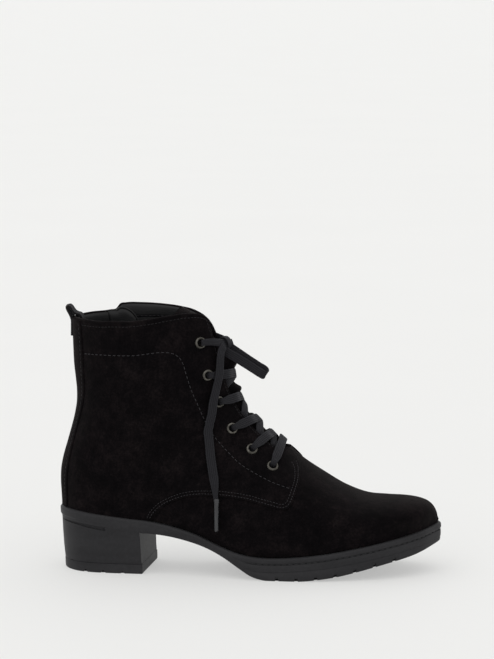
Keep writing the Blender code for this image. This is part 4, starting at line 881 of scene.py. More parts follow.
# Rows at which the lace over each eyelet but the top one and the lowest dives under a facing
DIVES = [(23.0, 22.9), (19.4, 16.7), (14.3, 14.0), (12.2, 12.3)]
EYELET_WIDTH, CROSSING_THICK, LACE_PITCH = 4.3, 1.1, 0.7
FACE = QUARTER_WALL + GAP + LACE_THICK / 2      # lift of a lace that lies on the quarters
THROUGH = (-0.6, 1.6, 4.1)                      # and where it comes up through an eyelet
UNDER_FACING = (-0.35, -0.6, -0.6, -0.6)        # and where it runs on below the other facing
TAG_RINGS = [(-1.2, 0), (-1.2, 1.5), (-0.6, 1.85), (0, 1.9), (1.5, 1.75), (4, 1.6), (8, 1.55),
             (13, 1.5), (18, 1.45), (20.4, 1.4), (21.3, 1.2), (21.5, 0.9), (21.5, 0)]


def free_lace(name, path, across, width, thick=LACE_THICK):
    """A free cord of the lace: its flat band along its own path, in place of the part's cord."""
    made = lace(name + "_band", path, across, width, thick, replaces=name)


def lace_knot():
    """Lace from one top eyelet through the knot to the other, and the turn that binds it."""
    rows = rows_of(KNOT)
    rows = even_along(rows, spots(*rows.T[:3])[0], 0.9)
    path, normals = spots(rows[:, 0], rows[:, 1], rows[:, 2] + rows[:, 4] / 2)
    free_lace("lace_knot", path, np.cross(normals, np.gradient(path, axis=0)), rows[:, 3],
              rows[:, 4])
    middle, normal = spots(26.37, -9.0, 2.9)
    ahead = unit(spots(26.37, -7.0)[0] - spots(26.37, -11.0)[0])
    angle = np.linspace(-0.6 * math.pi, 1.6 * math.pi, 60)[:, None]
    turn = (middle + 4.5 * np.cos(angle) * np.cross(normal, ahead) + 2.9 * np.sin(angle) * normal
            + 1.6 * (angle / math.pi - 0.5) * ahead)
    lace("lace_knot_wrap", turn, np.tile(ahead, (60, 1)), 6.0, CROSSING_THICK)


def lace_end(word, lead, rows):
    """A free end on the surface, from inside the knot to its tag, narrowed towards the tag.

    The tag is a stack of rings, P(s, a) = end + s way + r(s) (cos a side + f(s) sin a up), with f
    from flat, where it grips the lace, to round.
    """
    points = rows_of(rows)
    aim = spots(*points[-1])[0]
    points = np.vstack([lead, points[:-1]])
    points = even_along(points, spots(*points.T)[0], 0.9)
    path, normals = spots(*points.T)
    run = run_of(path)
    width = LACE_WIDTH - (LACE_WIDTH - 3.3) * ease(run, run[-1] - 16.0, run[-1])
    way = unit(aim - path[-1])
    side_on = unit(np.cross(way, normals[-1]))
    at, radius = np.array(TAG_RINGS, float).T
    rings = np.column_stack([at, radius, radius * (ease(at, -1.0, 9.0) * 0.35 + 0.6)])
    tag = piece(f"lace_tag_{word}_film",
                turned(path[-1], way, side_on, np.cross(way, side_on), rings, 25), [TAG_FILM],
                "lace_tag", replaces=f"lace_tag_{word}", sharp=60)
    free_lace(f"lace_end_{word}", path, np.cross(normals, np.gradient(path, axis=0)), width)


def bow(name, path, slant):
    """A bow along its path; the width's slants are spread evenly over it."""
    path = even_along(path, path, 0.8)
    at, knots = np.linspace(0.0, 1.0, len(path)), np.linspace(0.0, 1.0, len(slant))
    slant = np.column_stack([smooth(at, knots, column) for column in slant.T])
    free_lace(name, path, slant, LACE_WIDTH)


def lace_bows():
    bow("lace_bow_outer", rows_of(BOW_OUTER), np.tile(BOW_SLANT, (len(BOW_OUTER["x"]), 1)))
    inner = spots(*BOW_INNER.values())[0]
    above = spots(BOW_INNER["row"] + 0.1, BOW_INNER["arc"], BOW_INNER["lift"])[0]
    bow("lace_bow_inner", inner, unit(above - inner))


def laid(values):
    """Row, arc and lift at an even pitch, their places and normals, and the way of a level line."""
    values = even_along(values, spots(*values.T)[0], LACE_PITCH)
    level = spots(values[:, 0], values[:, 1], QUARTER_WALL)[0]
    return values, *spots(*values.T), np.gradient(level, axis=0)


def widened(run):
    """Width of a lace at a distance from the eyelet that pinches it."""
    return EYELET_WIDTH + (LACE_WIDTH - EYELET_WIDTH) * ease(run, 5.0, 13.0)


def crossing(eyelet, side, to_row, over):
    """One lace from below its eyelet, up through it, across the throat and under to the next.

    Its route is a straight line in row and arc from the eyelet to where it dives, then another to
    the next eyelet of the other side; the lift follows a short table over both.
    """
    start = np.array([EYELETS["row"][eyelet], side * EYELETS["arc"][eyelet]])
    dive = np.array([to_row, -side * (throat_arc(to_row) - 2.2)])
    after = np.array([EYELETS["row"][eyelet + 1], -side * EYELETS["arc"][eyelet + 1]])
    line = np.linspace(0, 1, 40)[:, None]
    span = run_of(spots(*(start + (dive - start) * line).T, 3.0)[0])[-1]
    rest = run_of(spots(*(dive + (after - dive) * line).T, 0.0)[0])[-1]
    t = np.append(np.array([0.5, 0.6, 1.1, 2.4, 4.6]) / span,
                  [0.24, 0.36, 0.45, 0.53, 0.6, 0.67, 0.75, 0.87, 1.0])
    middle = LACE_THICK / 2
    lift = np.interp(t, [0.1, 0.36, 0.53, 0.75, 1.0], [
        FACE + 1.2, FACE + 0.5, over + 0.4 + middle, over + middle, 0.2 + middle])
    lift[:3] = THROUGH
    u = np.array([3.0 / rest, 0.4, 0.7, 1.0 - 1.0 / rest])
    route = np.vstack([start + (dive - start) * t[:, None], dive + (after - dive) * u[:, None]])
    values, path, normals, way = laid(np.column_stack([route, np.append(lift, UNDER_FACING)]))
    run = run_of(path)
    ahead = way[np.maximum(np.arange(len(values)), np.searchsorted(run, 9.0))]
    across = unit(np.cross(normals, ahead))
    slope = (throat_arc(to_row + 0.1) - throat_arc(to_row - 0.1)) / 0.2
    beside = spots(values[:, 0] + 0.05, values[:, 1] - 0.05 * side * slope, values[:, 2])[0]
    facing = unit(beside - path)
    facing *= np.sign((facing * across).sum(-1, keepdims=True))
    share = run / span
    blend = (ease(share, 0.5, 1.0) * (1 - ease(share, 1.15, 1.5)))[:, None]
    return path, unit(across * (1 - blend) + facing * blend), widened(run)


def lace_crossings():
    for number, rows in enumerate(DIVES, 1):
        for (side, word), to_row, over in zip(WORDS.items(), rows, (0.9, 0.4)):
            lace(f"lace_crossing_{word}_{number}", *crossing(number, side, to_row, over),
                 CROSSING_THICK, replaces=f"lace_cross_{number}")


def lace_bar():
    """Straight bar over the lowest pair, down through both eyelets."""
    row, arc = EYELETS["row"][-1], EYELETS["arc"][-1]
    half = np.array([0.2, 0.45, 0.66, 0.86, 0.93, 0.965, 0.98, 0.985])
    t = np.concatenate([-half[::-1], [0.0], half])
    lift = FACE + np.interp(np.abs(t), [0.0, 0.3, 0.6, 0.88], [0.0, 0.3, 0.8, 1.2])
    lift[:3], lift[-3:] = THROUGH, THROUGH[::-1]
    _, path, normals, way = laid(np.column_stack([row - 0.25 * (1 - t**2), arc * t, lift]))
    at = np.arange(len(path))
    across = np.cross(normals, way)[np.clip(at, 12, len(path) - 13)]
    width = widened(np.minimum(at, at[::-1]) * LACE_PITCH)
    lace("lace_bar_band", path, across, width, CROSSING_THICK, replaces="lace_bar")


# Upper

TOE_MIDDLE, SOLE_MIDDLE = (248.0, 5.0, 38.0), (130.0, 0.0, 0.0)
HEEL_SECTION = 20.0
EYELET_HOLE, HOLE_REACH = 3.3, 9.0
SKIRT = np.array([0.0, 0.0, 2.2])      # how far panels go down behind the sole's rim
EDGE_STEPS = np.array([0.0, 0.12, 0.35, 0.8, 1.6, 2.6])
EDGE_DROP = np.array([0.42, 0.2, 0.07, 0.0, 0.0, 0.0])
RIM_SEAMS = (1.5, 3.5)
FOLDS = [(60, 112, 96, 104, 7.0, 0.55), (52, 96, 84, 84, 6.0, 0.45), (30, 126, 58, 118, 7.0, 0.4),
         (196, 50, 176, 30, 6.0, 0.3), (104, 92, 128, 78, 6.0, 0.35)]


def rows_at(low, high, pitch, extra=()):
    """Rows at an even pitch down the sides of the last, with some rows set."""
    row = np.linspace(low, high, 400)
    spot = on_last(row[:, None], np.array([[0.0, 0.35, 0.7, 1.0]]), OUTER)
    step = np.linalg.norm(np.diff(spot, axis=0), axis=2).max(axis=1)
    run = np.append(0.0, np.cumsum(step))
    made = np.interp(np.linspace(0, run[-1], int(run[-1] / pitch) + 2), run, row)
    kept = [r for r in made if all(abs(r - e) > 0.02 for e in extra)]
    return np.sort(np.append(kept, extra))


def bent_to_collar(rows, columns, side):
    """Rows of a grid up the shaft, the upper ones bent to end on the collar line."""
    top = collar_row(columns, side)
    rise = np.clip((rows - COLLAR_FROM) / (TOP_ROW - COLLAR_FROM), 0, 1)[:, None]
    return np.where(rise > 0, COLLAR_FROM + (top - COLLAR_FROM) * rise, rows[:, None])


def folds(places):
    """Soft troughs over the ankle's bend and the vamp's, in millimetres of lift.

    Each is a Gauss bell across a line seen from the side, faded at its ends.
    """
    x, z = places[..., 0], places[..., 2]
    sunk = np.zeros(x.shape)
    for x0, z0, x1, z1, wide, deep in FOLDS:
        way = np.array([x1 - x0, z1 - z0], float)
        size = np.hypot(*way)
        way /= size
        along = (x - x0) * way[0] + (z - z0) * way[1]
        off = -(x - x0) * way[1] + (z - z0) * way[0]
        fade = ease(along, -8.0, 8.0) * (1 - ease(along, size - 8.0, size + 8.0))
        sunk = sunk + deep * fade * np.exp(-(off / wide)**2)
    return sunk


def near_eyelets(places, side):
    """Cells of a grid whose middle lies within an eyelet's hole."""
    middle = (places[:-1, :-1] + places[1:, 1:]) / 2
    found = np.zeros(middle.shape[:2], bool)
    for centre, normal in zip(*spots(EYELETS["row"], side * EYELETS["arc"])):
        off = middle - centre
        depth = (off * normal).sum(-1)
        across = np.linalg.norm(off - depth[..., None] * normal, axis=-1)
        found |= (across < EYELET_HOLE) & (np.abs(depth) < HOLE_REACH)
    return found


def feather_way(points):
    """Outward level direction along a side's feather edge, straight out at toe and heel."""
    along = heading(points[:, :2])
    way = np.column_stack([-left_of(along), np.zeros(len(along))])
    way *= np.sign((way * (points - SOLE_MIDDLE)).sum(1, keepdims=True))
    way[0], way[-1] = (1, 0, 0), (-1, 0, 0)
    return way


def wall_normals(row, share, side, places):
    """The last's normals, round the toe blended with those of a ball about the toe's middle."""
    round_toe = places - TOE_MIDDLE
    round_toe[..., 2] = np.maximum(round_toe[..., 2], 0.0)
    toe = np.clip(2.5 - row, 0, 1)[..., None]
    return unit(unit(round_toe) * toe + normal_at(np.maximum(row, 0.1), share, side) * (1 - toe))


def upper_shell():
    """Vamp, shaft and lining: two sheets over the last, WALL apart, joined round every edge.

    S(r, c) = last(r, e + (1 - e) c) + lift n, where e is the facing's edge and c runs from it to
    the feather edge or the back seam. Cells round the eyelets are left out of both sheets.
    """
    rows = rows_at(0.0, TOP_ROW, 1.7, (THROAT_FOOT, 11.1, HEEL_SECTION, COLLAR_FROM))
    heel = int(np.searchsorted(rows, HEEL_SECTION)) + 1
    line = np.linspace(0.0, 1.0, 92)
    size = len(rows), len(line)
    count = len(rows) * len(line)
    closed = rows <= THROAT_FOOT
    sides = {}
    for side in WORDS:
        row = bent_to_collar(rows, line, side)
        share = from_throat(row, line, side)
        middle = on_last(np.maximum(row, 0.1), share, side)
        sides[side] = [on_last(row, share, side), middle, wall_normals(row, share, side, middle),
                       share]
    for column, shared in ((0, closed & (rows > 0)), (-1, rows > HEEL_SECTION)):
        both = unit(sides[OUTER][2][shared, column] + sides[INNER][2][shared, column])
        seam = (sides[OUTER][0][shared, column] + sides[INNER][0][shared, column]) / 2
        for inside, middle, normal, _ in sides.values():
            inside[shared, column], middle[shared, column] = seam, seam
            normal[shared, column] = both
    places, faces, start = [], [], 0
    for side, (inside, middle, normal, share) in sides.items():
        outside = middle + (WALL - folds(middle) * (1 - ease(share, 0.9, 1.0)))[..., None] * normal
        foot = inside[:heel, -1]
        way = feather_way(foot)
        corner = foot + WALL * way
        corner[:, 2] = last_base(corner[:, 0]) - WALL
        outside[:heel, -1] = corner
        outside[0] = corner[0]
        tuck = foot - MARGIN * way
        tuck[:, 2] = last_base(tuck[:, 0])
        places += [inside.reshape(-1, 3), outside.reshape(-1, 3), tuck, tuck - (0, 0, WALL)]
        hole = near_eyelets(middle, side)
        faces += [(cells(*size, start)[~hole.ravel()], 1),
                  (cells(*size, start + count)[~hole.ravel()], 0)]
        at = start + np.arange(count).reshape(size)
        i, j = np.nonzero(hole[:, 1:] != hole[:, :-1])
        k, m = np.nonzero(hole[1:] != hole[:-1])
        edges = np.vstack([np.column_stack(pair) for pair in (
            (at[i, j + 1], at[i + 1, j + 1]), (at[k + 1, m], at[k + 1, m + 1]),
            (at[:-1, 0][~closed[1:]], at[1:, 0][~closed[1:]]), (at[-1, :-1], at[-1, 1:]))])
        faces.append((np.column_stack([edges, edges[:, ::-1] + count]), 0))
        foot_line, tuck_line = at[:heel, -1], start + 2 * count + np.arange(heel)
        faces += [(strip(foot_line, tuck_line), 0), (strip(tuck_line, tuck_line + heel), 0),
                  (strip(tuck_line + heel, foot_line + count), 0)]
        start += 2 * count + 2 * heel
    piece("upper_shell", np.vstack(places), [SUEDE, LINING], "suede", faces, replaces="upper",
          weld=0.02, sharp=55)


def front_rows(columns, side):
    """Row of the quarters' front edge on each line of the panel's grid."""
    rows = np.arange(9.2, 12.4, 0.04)
    share = from_throat(rows[:, None], columns, side, quarter_share(rows, side)[:, None])
    spot = on_last(rows[:, None], share, side)
    ahead = spot[..., 0] - smooth(spot[..., 2], QUARTER_FRONT["z"], QUARTER_FRONT["x"])
    return first_below(ahead, rows)[0]


def with_edges(count, length):
    """Shares from 0 to 1, close set at both ends so that an edge can be rounded."""
    near = EDGE_STEPS / length
    return np.concatenate([near, np.linspace(near[-1], 1 - near[-1], count)[1:-1], 1 - near[::-1]])


def seam_trough(places, line, wide, deep):
    """Depth pressed in along a line of stitches: a Gauss bell of the distance to it."""
    flat = places.reshape(-1, 3)
    off = np.full(len(flat), 1e9)
    for part in np.array_split(line, max(1, len(line) // 12)):
        off = np.minimum(off, np.linalg.norm(flat[:, None] - part[None], axis=2).min(axis=1))
    return deep * np.exp(-(off / wide)**2).reshape(places.shape[:2])


def quarter_rim(off):
    """Line at a distance inside the quarters' free edge, from the feather to the throat's foot."""
    edge = np.vstack([rows_of(QUARTER_EDGE)[:-2], rows_of(QUARTER_FRONT)[1:, ::-1]])
    edge = even_along(edge, edge, 0.8)
    line = edge + off * left_of(heading(edge))
    clear = np.linalg.norm(line[:, None] - edge[None], axis=2).min(axis=1) > off - 0.1
    return line[clear & ((line[:, 1] < 78.0) | (line[:, 0] < 150.0)) & (line[:, 1] > 40.5)]


def quarter_panel(side):
    """One quarter with its facing, laid over the shell from the throat to its own lower edge.

    Q(r, c) = last(r, e + (l - e) c) + lift n, between the facing's edge e and the lower edge l;
    the first rows follow the curved front edge, the last end on the collar. The lift falls off
    over the last millimetre to every free edge, and dips along the seams.
    """
    line = with_edges(112, 130.0)
    rows = rows_at(THROAT_FOOT + 0.35, TOP_ROW, 1.35)
    lead = front_rows(line, side)
    first = lead + (rows[0] - 0.02 - lead) * (np.linspace(0.0, 1.0, 12) ** 0.9)[:, None]
    head = lead + np.array([0.0, 0.012, 0.035, 0.08])[:, None]
    row = np.vstack([head, first[2:], bent_to_collar(rows, line, side)])
    start = throat_share(row, side)
    limit = quarter_share(row.ravel(), side).reshape(row.shape)
    share = start + (limit - start) * line
    places, normals = off_last(row, share, side, 0.0)
    girth = half_girth(row, side)
    to_throat = np.where(row < THROAT_FOOT, 9.0, (share - start) * girth)
    to_lower = np.where(limit < 0.999, (limit - share) * girth, 9.0)
    to_front = np.zeros(row.shape)
    to_front[1:] = np.cumsum(np.linalg.norm(np.diff(places, axis=0), axis=2), axis=0)
    edge = np.minimum(np.minimum(to_throat, to_lower), to_front)
    path = rows_of(STAY_SEAM)
    stay = seen_at(*even_along(path, path, 1.5).T, side)
    rims = [seen_at(*quarter_rim(off).T, side) for off in RIM_SEAMS]
    dip = (seam_trough(places, on_last(*stay, side), 1.2, 0.24)
           + seam_trough(places, np.vstack([on_last(*rim, side) for rim in rims]), 0.9, 0.12))
    lift = (QUARTER_WALL - np.interp(edge, EDGE_STEPS, EDGE_DROP) - dip
            - folds(places) * ease(edge, 2.0, 14.0))
    down = ((limit[:, -1:] > 0.999) & (row[:, -1:] <= HEEL_SECTION))[..., None] * SKIRT
    top, under = [np.hstack([face, face[:, -1:] - down]) for face in (
        places + lift[..., None] * normals, places + (WALL - 0.5) * normals)]
    word = WORDS[side]
    sheet(f"quarter_{word}", top, under, [SUEDE], "suede", ~near_eyelets(under, side).ravel(),
          weld=0.003, sharp=50)

    def raised(row, share):
        return off_last(row, share, side, QUARTER_WALL - 0.12)

    stitches(f"quarter_seams_{word}", [raised(*rim) for rim in rims], THREAD, pitch=2.2,
             stitch=1.45, radius=0.2)
    stitches(f"stay_seam_{word}", [raised(*stay)], THREAD, pitch=3.5, stitch=2.3, radius=0.28)
    facing = np.linspace(11.6, 29.0, 200)
    facing = facing[facing < collar_row(np.array([0.02]), side)[0] - 0.15]
    inset = throat_share(facing, side) + 1.8 / half_girth(facing, side)
    line = np.linspace(0.02, 0.88, 160)
    collar = collar_row(line, side) - 0.24
    stitches(f"edge_seams_{word}", [raised(facing, inset),
                                    raised(collar, from_throat(collar, line, side))],
             DARK_THREAD, pitch=2.6, stitch=1.8, radius=0.2)


def collar_binding():
    """Folded edge round the collar: a rounded bead about the top of the wall, open at the throat."""
    line = np.linspace(0.0, 1.0, 150)
    sides = []
    for side, order in ((OUTER, slice(None)), (INNER, slice(-2, None, -1))):
        row = collar_row(line, side)
        sides.append([part[order] for part in off_last(row, from_throat(row, line, side), side, 1.5)])
    path, out = [np.vstack(parts) for parts in zip(*sides)]
    up = unit(np.cross(out, heading(path)))
    up *= np.sign(up[:, 2:])
    angle = np.linspace(0.0, FULL_TURN, 17)
    grid = swept(path, out, 1.72 * np.cos(angle), up, 1.25 * np.sin(angle) - 0.55)
    piece("collar_edge", capped(grid), [SUEDE], "suede", sharp=70)


def collar_lining():
    """Facing strip inside the collar, its lower edge sewn down, on both sides."""
    down, deep = np.array([(0.04, -0.25), (0.1, -0.55), (0.2, -0.7), (0.4, -0.75), (0.6, -0.7),
                           (0.7, -0.6), (0.75, -0.3), (0.78, 0.1)]).T[..., None]
    line = np.linspace(0.03, 0.985, 150)
    for side, word in WORDS.items():
        row = collar_row(line, side) - down
        share = from_throat(row, line, side)
        sheet(f"collar_facing_{word}", off_last(row, share, side, deep)[0],
              off_last(row, share, side, 0.4)[0], [LINING], "lining", sharp=50)
        seam, normals = off_last(row[5], share[5], side, -0.55)
        stitches(f"lining_seam_{word}", [(seam, -normals)], THREAD, "lining", pitch=3.0, stitch=2.0)


def zip_guard():
    """Soft flap behind the zip inside the shaft, its top corner cut round, with a piped edge."""
    forward = np.linspace(-9.0, 11.0, 29)
    part = np.linspace(0.0, 1.0, 70)[:, None]
    top = (181.8 - 12.0 * (1 - np.sqrt(1 - (np.maximum(forward, 0.0) / 11.2)**2))
           - 2.0 * ease(-forward, 0.0, 4.0))
    z = top + part * (60.0 - top)
    x = zip_x(z) + forward
    row, share = [at.reshape(x.shape) for at in seen_at(x.ravel(), z.ravel(), INNER)]
    rim = np.minimum(np.minimum(9.0 + forward, 11.0 - forward), 40.0 * part) / 1.2
    face, normals = off_last(row, share, INNER, -0.7 - 0.9 * np.clip(rim, 0.0, 1.0)**0.5)
    sheet("zip_guard_flap", face, off_last(row, share, INNER, -0.3)[0], [LINING], "lining",
          sharp=50)
    edge, inwards = [np.vstack([grid[0, 8:-1], grid[:30, -1]]) for grid in (face, -normals)]
    both = even_along(np.hstack([edge, inwards]), edge, 0.7)
    grid, _ = lace_tube(both[:, :3] + 0.4 * both[:, 3:], both[:, 3:], 1.3, 1.3)
    piece("zip_guard_piping", grid, [LINING], "lining", sharp=60)


TONGUE = table("row back half", [
    (9.6, 0, 17), (11, 0, 22), (12.5, 0, 25), (15, 0, 23), (18, 0, 22), (21, 0, 22.5),
    (24, 0, 26), (26, 0.3, 27), (26.5, 4.2, 26.8), (27, 8.6, 26.5), (28, 12, 25.5),
    (28.7, 15.4, 24), (29.4, 20, 22)])
PUFFS = [(24.6, 0.8, 5.2), (21.35, 0.78, 4.6), (18.0, 0.8, 2.2)]     # row, rows wide, lift
TONGUE_HALF = 1.2


def tongue():
    """Padded tongue: a sheet a little below the facings, thick in the middle and thin at its edge.

    T(r, s) = last(r, w s) + lift n, leaned back above the knot and puffed up between the laces;
    the thickness is the root of one less the eighth power of s.
    """
    rows = np.concatenate([np.linspace(9.6, 26.0, 96), np.linspace(26.1, 29.4, 42)])
    across = np.sin(np.linspace(-math.pi / 2, math.pi / 2, 61))
    row = rows[:, None] - 0.7 * across**2 * np.clip((rows[:, None] - 26.2) / 3.2, 0, 1)
    half, lean = [smooth(rows, TONGUE["row"], TONGUE[name]) for name in ("half", "back")]
    arc = half[:, None] * across
    puffs = sum(high * np.exp(-((rows - at) / wide)**2) for at, wide, high in PUFFS)
    face, normal = spots(row, arc, puffs[:, None] * np.exp(-((arc - 2.0) / 11.0)**4) - 1.2)
    face = face - lean[:, None, None] * (1.0, 0.0, 0.0)
    fresh = np.cross(np.gradient(face, axis=1), np.gradient(face, axis=0))
    fresh = unit(fresh) * np.sign((fresh * normal).sum(-1, keepdims=True))
    thin = np.minimum(np.sqrt(np.clip(1 - np.abs(across)**8, 0.0, 1.0)),
                      np.sqrt(np.clip(ease(rows, 29.4, 28.9)[:, None], 0.0, 1.0)))
    thin = np.maximum(thin, 0.03)[..., None]
    pad = 0.5 * np.sin(math.pi * np.clip((rows - 27.0) / 2.4, 0, 1))[:, None] * (np.abs(across) < 1)
    middle = face - TONGUE_HALF * fresh
    outer_face = middle + (TONGUE_HALF + pad[..., None]) * thin * fresh
    sheet("tongue_padded", outer_face, middle - TONGUE_HALF * thin * fresh, [SUEDE, LINING],
          "suede", inside=1, replaces="tongue", sharp=60)
    at = np.arange(60, len(rows) - 4)
    lines = []
    for sign in WORDS:
        pick = np.interp(sign * (1 - 3.5 / half[at]), across, np.arange(len(across)))
        j = np.clip(pick.astype(int), 0, len(across) - 2)
        part = (pick - j)[:, None]
        line = outer_face[at, j] * (1 - part) + outer_face[at, j + 1] * part
        lines.append((line, fresh[at, j]))
    stitches("tongue_seams", lines, THREAD)


def back_places(y, z):
    """Rows and signed arcs from the back seam of the places that a back view shows at y and z."""
    row, arc = np.zeros((2,) + y.shape)
    for side in WORDS:
        own = y > 0 if side == INNER else y <= 0
        if own.any():
            at, share = seen_at(y[own], z[own], side, axis=1)
            row[own], arc[own] = at, side * (1 - share) * half_girth(at, side)
    return row, arc


def backstay():
    """Strip over the back seam, its lift rounded off at both edges, with two rows of stitches.

    B(z, y) = the last's place with that z and y, lifted along the normal; the half width is a table.
    """
    z = np.linspace(47.5, 178.2, 130)
    half = smooth(z, BACKSTAY["z"], BACKSTAY["half"])[:, None]
    y = half * (2 * with_edges(31, 34.0) - 1)
    row, arc = back_places(y, np.broadcast_to(z[:, None], y.shape))
    inside = half - np.abs(y)
    lift = 3.9 - np.interp(inside, EDGE_STEPS, 1.8 * EDGE_DROP) - 0.1 * np.exp(-(inside - 1.8)**2)
    face, back = [spots(row, arc, height, from_back=True)[0] for height in (lift, 2.7)]
    face, back = [np.vstack([grid[:1] - SKIRT, grid]) for grid in (face, back)]
    sheet("backstay_strip", face, back, [SUEDE], "suede", replaces="backstay", sharp=50)
    z = np.linspace(49.0, 176.5, 200)
    half = smooth(z, BACKSTAY["z"], BACKSTAY["half"])
    lines = [spots(*back_places(sign * (half - 1.8), z), 3.8, from_back=True) for sign in WORDS]
    stitches("backstay_seams", lines, DARK_THREAD, pitch=3.0, stitch=2.0, radius=0.24)


LOOP = table("x y z", [
    (7, 0, 165.5), (7.1, 0, 172), (6.9, 0, 177), (5.9, 0, 179.8), (4.7, 0, 182.1), (3.7, 0, 184.2),
    (3.4, 0, 185.5), (4.1, 0, 186.3), (5.3, 0, 185.6), (6.7, 0, 183.6), (8.1, 0, 181.9),
    (9.9, 0, 181), (12, 0, 180.3), (13.4, 0, 178.4), (13.9, 0, 174)])
# Width, half thickness, and what the square of y is divided by for its bend round the heel
LOOP_WIDTH, LOOP_HALF, LOOP_CURVE = 12.0, 1.15, 36.0


def pull_loop():
    """Woven tape bent over the collar at the back seam, sewn down at both ends."""
    path = rows_of(LOOP)
    path = even_along(path, path, 0.7)
    width_way = np.array([0.0, 1.0, 0.0])
    angle = np.linspace(0.0, FULL_TURN, 33)
    c, n = squared(np.cos(angle), 0.4), squared(np.sin(angle), 0.8)
    grid = swept(path, width_way, LOOP_WIDTH / 2 * c, np.cross(heading(path), width_way),
                 LOOP_HALF * n)
    grid[..., 0] += grid[..., 1]**2 / LOOP_CURVE
    piece("pull_loop_tape", capped(grid), [WOVEN_LOOP], "lace", uv=woven_map(c, path, LOOP_WIDTH),
          replaces="pull_loop", sharp=60)


def eyelets():
    """Turned eyelets: a rolled flange, the barrel and a small roll inside, closed on itself."""
    face = QUARTER_WALL - 0.05
    radius, height = np.array([
        (2.35, -0.4), (2.3, 1.0), (2.3, face), (2.36, face + 0.5), (2.6, face + 0.92),
        (3.05, face + 1.18), (3.5, face + 1.12), (3.9, face + 0.8), (4.15, face + 0.35),
        (4.2, face), (4.05, face - 0.1), (2.9, face - 0.1), (2.8, 1.0), (2.85, -0.2),
        (3.7, -0.35), (3.9, -0.6), (3.5, -0.85), (2.8, -0.75), (2.35, -0.4)]).T
    rings = np.column_stack([height, radius, radius])
    for side, word in WORDS.items():
        centres, normals = spots(EYELETS["row"], side * EYELETS["arc"])
        for number, (centre, normal) in enumerate(zip(centres, normals), 1):
            along = unit(np.cross(normal, (0.0, 1.0, 0.0)))
            grid = turned(centre, normal, along, np.cross(normal, along), rings, 37)
            piece(f"eyelet_ring_{word}_{number}", grid, [SILVER], "antique_silver",
                  replaces=f"eyelet_{word}_{number}", sharp=60)


# Sole

LUGS, LUG_WIDTH, LUG_DEPTH = 155.6 + 13.6 * np.arange(7), 2.0, 1.8
BREAST_OUTER, BREAST_SLANT = 58.2, 4.0
BREAST_STEP = (58.0, 58.3, 58.6)
HEEL_SPLIT = 1.4              # height over the outsole's underside at which heel and sole meet
FOREFOOT = (124.0, 141.0)     # where the plain side of the sole turns into bead, groove and step
GROOVE_FROM, GROOVE_DEEP = 137.0, 4.72
SIDE_LEVELS = table("deep inset part flush", [
    (0.2, 2.4, 0.02, 2.4), (0.22, 1.6, 0.03, 1.6), (0.45, 0.85, 0.06, 0.85), (1, 0.3, 0.13, 0.3),
    (1.9, 0.05, 0.22, 0.08), (3, 0, 0.3, 0), (3.8, 0.08, 0.36, 0), (4.2, 0.35, 0.4, 0.02),
    (4.4, 1.05, 0.44, 0.04), (5.05, 1.1, 0.48, 0.06), (5.2, 0.5, 0.52, 0.08),
    (5.6, 0.28, 0.56, 0.1), (7.8, 0.2, 0.62, 0.14), (9.8, 0.3, 0.68, 0.18),
    (10.1, 0.62, 0.73, 0.22), (10.4, 0.66, 0.77, 0.26), (10.8, 0.5, 0.81, 0.3)])
LOW_LEVELS = table("rise inset flush cut", [
    (1.5, 0.62, 0.36, 1), (0.55, 0.85, 0.42, 1), (0, 1.5, 0.5, 1), (0, 3.2, 3.2, 1),
    (0, 3.4, 3.4, 0), (0, 8, 8, 0), (0, 8.2, 8.2, 1)])


def layer(name, turns, levels, finish, slot, replaces, painted_shade_ring=None):
    """Closed layer of the sole: rings of the outline at given insets and heights, top first; the wall
    below a given ring is painted shade.
    """
    rings = [np.column_stack([outline(turns, inset), height]) for inset, height in levels]
    stack(name, rings, len(turns), finish, slot, replaces, 38, painted_shade_ring)


def sole_layer():
    """Midsole and outsole as one moulded wall.

    Each level has a depth below the seat and an inset. Under the forefoot they draw the rounded
    bead, the stitch groove and the step; towards the heel they flatten into one plain side, whose
    rim stands out a little at the back. The lowest levels cut the grooves and close their ends; the
    blind walls that close them are painted black as painted shade.
    """
    lip = LUG_WIDTH / 2 + 0.25
    cuts = (LUGS[:, None] + (-lip, -LUG_WIDTH / 2, LUG_WIDTH / 2, lip)).ravel()
    kept = [x for x in x_at(np.linspace(0.0, 1.0, 331)) if np.all(np.abs(x - LUGS) > lip + 0.3)]
    turns = turn_of(np.sort(np.concatenate([kept, cuts, BREAST_STEP])))
    x = ring_x(turns)
    seat, under = seat_z(x), under_z(x)
    fore = ease(x, *FOREFOOT)
    levels = []
    for deep, inset, part, flush in rows_of(SIDE_LEVELS):
        bulge = 0.75 * (1 - ease(x, 6.0, 40.0)) * ease(part, 0.05, 0.2) * (1 - ease(part, 0.7, 0.81))
        levels.append((fore * inset + (1 - fore) * flush - bulge,
                       seat - fore * deep - (1 - fore) * part * (seat - under) * 0.84))
    bottom = under + HEEL_SPLIT * (1 - ease(x, BREAST_STEP[0], BREAST_STEP[-1]))
    grooves = LUG_DEPTH * (np.abs(x[:, None] - LUGS) < LUG_WIDTH / 2 + 0.1).any(axis=1)
    for rise, inset, flush, cut in rows_of(LOW_LEVELS):
        levels.append((flush + (inset - flush) * ease(x, 56.0, 64.0),
                       bottom + cut * grooves + rise * (0.4 + 0.6 * ease(x, 58.0, 62.0))))
    # The wall below the fourth ring from the bottom closes the grooves' ends; it is painted black as
    # painted shade.
    layer("sole_wall", turns, levels, RUBBER, "rubber", "midsole outsole", len(levels) - 4)


